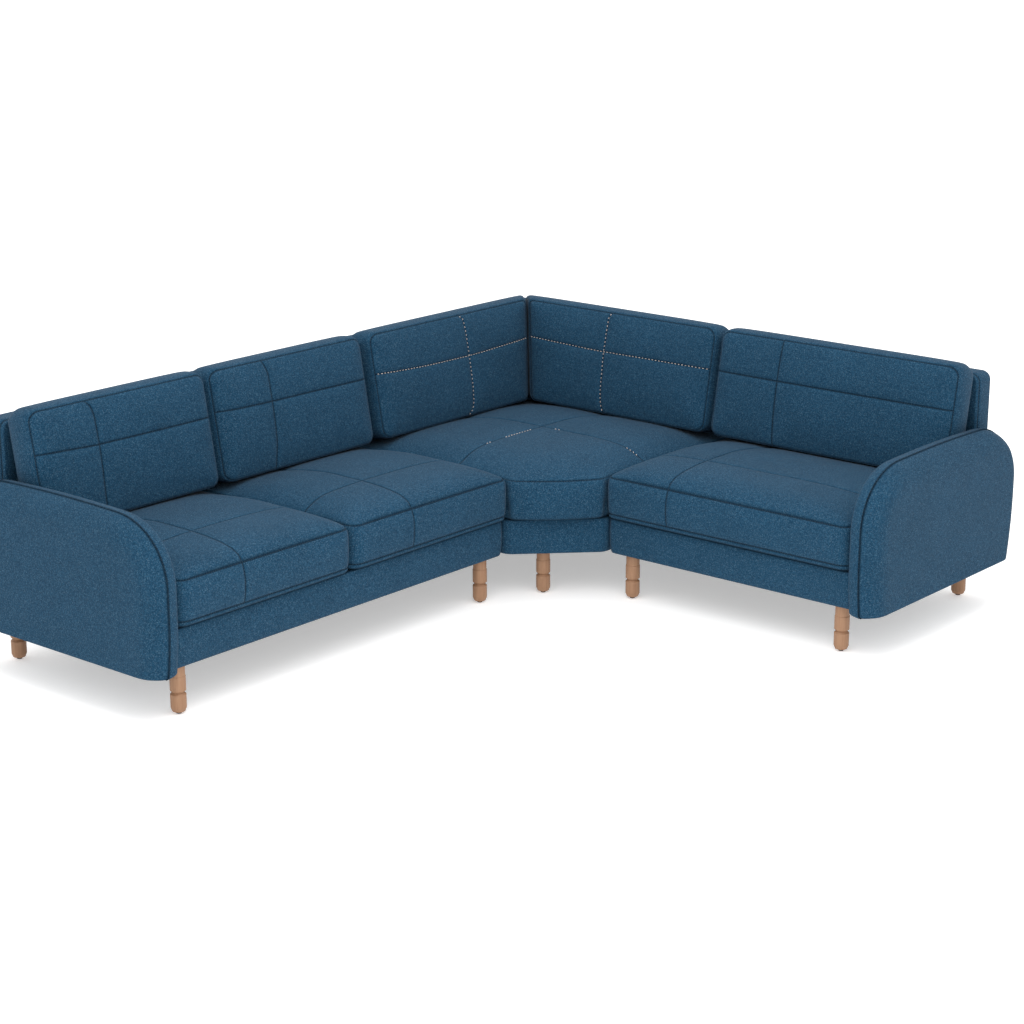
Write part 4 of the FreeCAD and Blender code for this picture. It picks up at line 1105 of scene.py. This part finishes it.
def densify(profile, step=9.0):
    pts = [np.array(p, float) for p in profile]
    out = []
    for k in range(len(pts)):
        a, b = pts[k], pts[(k + 1) % len(pts)]
        m = max(1, int(np.linalg.norm(b - a) / step))
        out += [tuple(a + (b - a) * i / m) for i in range(m)]
    return out


RAIL = densify([(-11.0, 158.0), (-11.0, 262.0), (-10.0, 266.0), (-7.5, 268.2), (-4.2, 268.4), (-1.6, 266.6),
                (-0.2, 263.0), (0.7, 256.0), (1.7, 240.0), (2.2, 220.0), (1.9, 198.0), (0.6, 178.0),
                (-1.2, 164.0), (-3.4, 154.6), (-6.0, 150.2), (-8.6, 150.0), (-10.6, 153.0)])


def wing_corners(wing, pts):
    return [(a, d, r) for a, d, r in pts] if wing == "left" else [(d, a, r) for a, d, r in pts]


for wing, end in (("left", -1663.0), ("right", -1163.0)):
    band(wing + "_base_cover_soft", wing_corners(wing, [
        (end, 0, 10), (-236.5, 0, 27), (-236.5, 808, 14), (end, 808, 14)]),
        RAIL, wing + "_module", (wing + "_base_cover",))
band("corner_base_cover_soft", [(-233.5, -6.5, 48), (-6.5, -233.5, 48), (808, -233.5, 14),
                                (808, 808, 26), (-233.5, 808, 14)],
     RAIL, "corner_module", ("corner_base_cover",))


def board_form(name, a0, a1, world, corner=False):
    """An upholstered back board, seen from behind; n is the depth."""
    x0, x1, y0, y1 = a0, a1, 268.5, 752.0
    out = curve((0, -12), (5, -7.6), (10, -3.9), (17, -0.9), (26, 0), (50, 0.9), (76, 0.6), (84, -0.1), (89, -2.2), (94, -6.0))
    deep = curve((0, 808), (5, 806.6), (10, 803.2), (17, 797.2), (26, 788.3), (50, 764), (76, 738), (84, 730), (89, 723.5), (94, 717.6))

    def outline(X, Y):
        return rounded_square(X, Y, x0, x1, y0, y1, (14, 14, 30, 30))

    def face(u, v, d):
        return 806.8 + 1.2 * (1 - np.exp(-d / 40)) + 0 * u

    def back(u, v, d):
        return 717.6 - 1.2 * (1 - np.exp(-d / 20)) + 0 * u

    def ring(w, bu, bv, ox, oy):
        bottom = smooth((-oy - 0.6) / 0.3)
        return out(w) * (1 - bottom) + np.minimum(out(w), 0) * 0.25 * bottom, deep(w) + 0 * bu

    return Form(name, (x0, x1, y0, y1), outline, face, back, ring, world, 94.0,
                face_out=-12.0, back_out=-6.0, edge_seam=False, ring_seams=(84.0,), step=16.0,
                groove=2.0, marks_x=(0.0,) if corner else ())


def board_left(p):
    return np.stack([p[:, 0], p[:, 2], p[:, 1]], -1)


def board_right(p):
    return np.stack([p[:, 2], p[:, 0], p[:, 1]], -1)


def board_corner(p):
    s, z, deep = np.abs(p[:, 0]), p[:, 1], p[:, 2]
    along = 716.0 - s + (deep - 716.0) * (1 - smooth(s / 420.0))
    # the outer corner is rounded in plan
    r = 30.0 * smooth((deep - 716.0) / 92.0) + 0.01
    back = deep - along
    turn = np.clip(back / r, 0, 1)
    t = (1 - turn) * math.pi / 4
    near = back < r
    cx = deep - r
    along = np.where(near, cx + r * np.sin(t), along)
    deep2 = np.where(near, cx + r * np.cos(t), deep)
    left = p[:, 0] < 0
    x = np.where(left, along, deep2)
    y = np.where(left, deep2, along)
    return np.stack([x, y, z], -1)


finish_form(board_form("left_back_cover", -1663.0, -236.5, board_left), "left_module",
            ("left_back_cover",), fill=0.9)
finish_form(board_form("right_back_cover", -1163.0, -236.5, board_right), "right_module",
            ("right_back_cover",), fill=0.9)
finish_form(board_form("corner_back_cover", -949.5, 949.5, board_corner, True), "corner_module",
            ("corner_back_cover",), fill=0.9)


def deck_form(name, span, outline, world):
    puff = curve((0, 0), (6, 1.0), (40, 1.4), (2000, 1.4))

    def face(u, v, d):
        return 268.0 + puff(d)

    def back(u, v, d):
        return 258.0 + 0 * u

    def ring(w, bu, bv, ox, oy):
        return 0.6 * math.sin(min(w / 10.0, 1) * math.pi), 268.0 - w

    return Form(name, span, outline, face, back, ring, world, 10.0, edge_seam=True, step=26.0,
                groove=0.9, ring_step=3.0)


for wing, end, world in (("left", -1663.0, on_left), ("right", -1163.0, on_right)):
    span = (end + 13.5, -249.5, 13.5, 714.0)
    finish_form(deck_form(wing + "_seat_deck", span,
                          lambda X, Y, s=span: rounded_square(X, Y, *s, (8, 8, 8, 8)), world),
                wing + "_module", (wing + "_seat_deck",), fill=0.9)
span = (-220.5, 714.0, -220.5, 714.0)
finish_form(deck_form("corner_seat_deck", span,
                      lambda X, Y, s=span: rounded_square(X, Y, *s, (213, 8, 8, 8), (1.05, 2, 2, 2)),
                      on_left), "corner_module", ("corner_seat_deck",), fill=0.9)


# ---- carried-over CAD nodes --------------------------------------------------------------

def paint(node, material):
    ob = nodes[node]
    ob.data.materials.clear()
    ob.data.materials.append(material)


for name in nodes:
    if name.endswith("_legs"):
        paint(name, LEG)
    elif name.endswith("_leg_glides"):
        paint(name, GLIDE)
    elif name.endswith(("_leg_plates", "_pin_brackets", "_socket_plates", "_arm_bolts")):
        paint(name, STEEL)
    elif name.endswith(("_seat_frame", "_back_frame", "_arm_board")):
        paint(name, PINE)
    elif name.endswith("_seat_webbing"):
        paint(name, WEB)
    elif name.endswith("_dust_cover"):
        paint(name, DUST)
    elif name.endswith("_foam"):
        paint(name, FOAM)


# ---- floor, light, camera ------------------------------------------------------------------

def floor():
    n = 48
    r = np.concatenate([[0.0], np.geomspace(0.4, 40, 20)])
    verts = [(0, 0, 0)]
    faces = []
    for i, q in enumerate(r[1:]):
        verts += [(q * math.cos(2 * math.pi * k / n), q * math.sin(2 * math.pi * k / n), 0) for k in range(n)]
        base = 1 + i * n
        for k in range(n):
            k2 = (k + 1) % n
            if i == 0:
                faces.append((0, base + k, base + k2))
            else:
                faces.append((base - n + k, base + k, base + k2, base - n + k2))
    me = bpy.data.meshes.new("floor")
    me.from_pydata(verts, [], faces)
    k = Nodes("pale_floor")
    grainy = k.noise(14, 2.0, 0.5)
    k.link(k.ramp(grainy, (0.3, (0.80, 0.80, 0.80)), (0.7, (0.82, 0.82, 0.82))), k.bsdf.inputs["Base Color"])
    k.bsdf.inputs["Roughness"].default_value = 0.9
    k.bsdf.inputs["Specular IOR Level"].default_value = 0.0
    k.bsdf.inputs["Emission Color"].default_value = (1, 1, 1, 1)
    k.bsdf.inputs["Emission Strength"].default_value = 0.40
    me.materials.append(k.m)
    ob = bpy.data.objects.new("floor", me)
    ob.location = (0, 0, -0.0005)
    scene.collection.objects.link(ob)
    ob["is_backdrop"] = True


floor()

world = bpy.data.worlds.new("studio")
scene.world = world
world.use_nodes = True
bg = world.node_tree.nodes["Background"]
bg.inputs["Color"].default_value = (1.0, 1.0, 1.0, 1)
bg.inputs["Strength"].default_value = 1.24


def area(name, at, to, size, power, colour=(1, 1, 1)):
    light = bpy.data.lights.new(name, "AREA")
    light.shape = "DISK"
    light.size = size
    light.energy = power
    light.color = colour
    ob = bpy.data.objects.new(name, light)
    ob.location = at
    ob.rotation_euler = (Vector(to) - Vector(at)).to_track_quat("-Z", "Y").to_euler()
    scene.collection.objects.link(ob)


area("key", (-5.2, -4.4, 3.3), (0.2, 0.2, 0.4), 3.5, 25)
area("inner", (-1.25, -1.05, 2.7), (0.35, 0.3, 0.3), 2.0, 22)
area("over", (0.3, 0.2, 6.0), (0, 0, 0.3), 6.0, 100)

cam = bpy.data.cameras.new("camera")
cam.sensor_width = 36.0
cam.lens = 81.90
cam.clip_end = 200
cam_ob = bpy.data.objects.new("camera", cam)
az, el = math.radians(40.02), math.radians(16.132)
forward = Vector((math.cos(az) * math.cos(el), math.sin(az) * math.cos(el), -math.sin(el)))
right = Vector((math.sin(az), -math.cos(az), 0))
up = right.cross(forward)
rot = Matrix((right, up, -forward)).transposed()
cam_ob.matrix_world = Matrix.Translation((-5.308, -4.467, 2.3879)) @ rot.to_4x4()
scene.collection.objects.link(cam_ob)
scene.camera = cam_ob
scene.view_settings.view_transform = "Standard"

low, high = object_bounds()
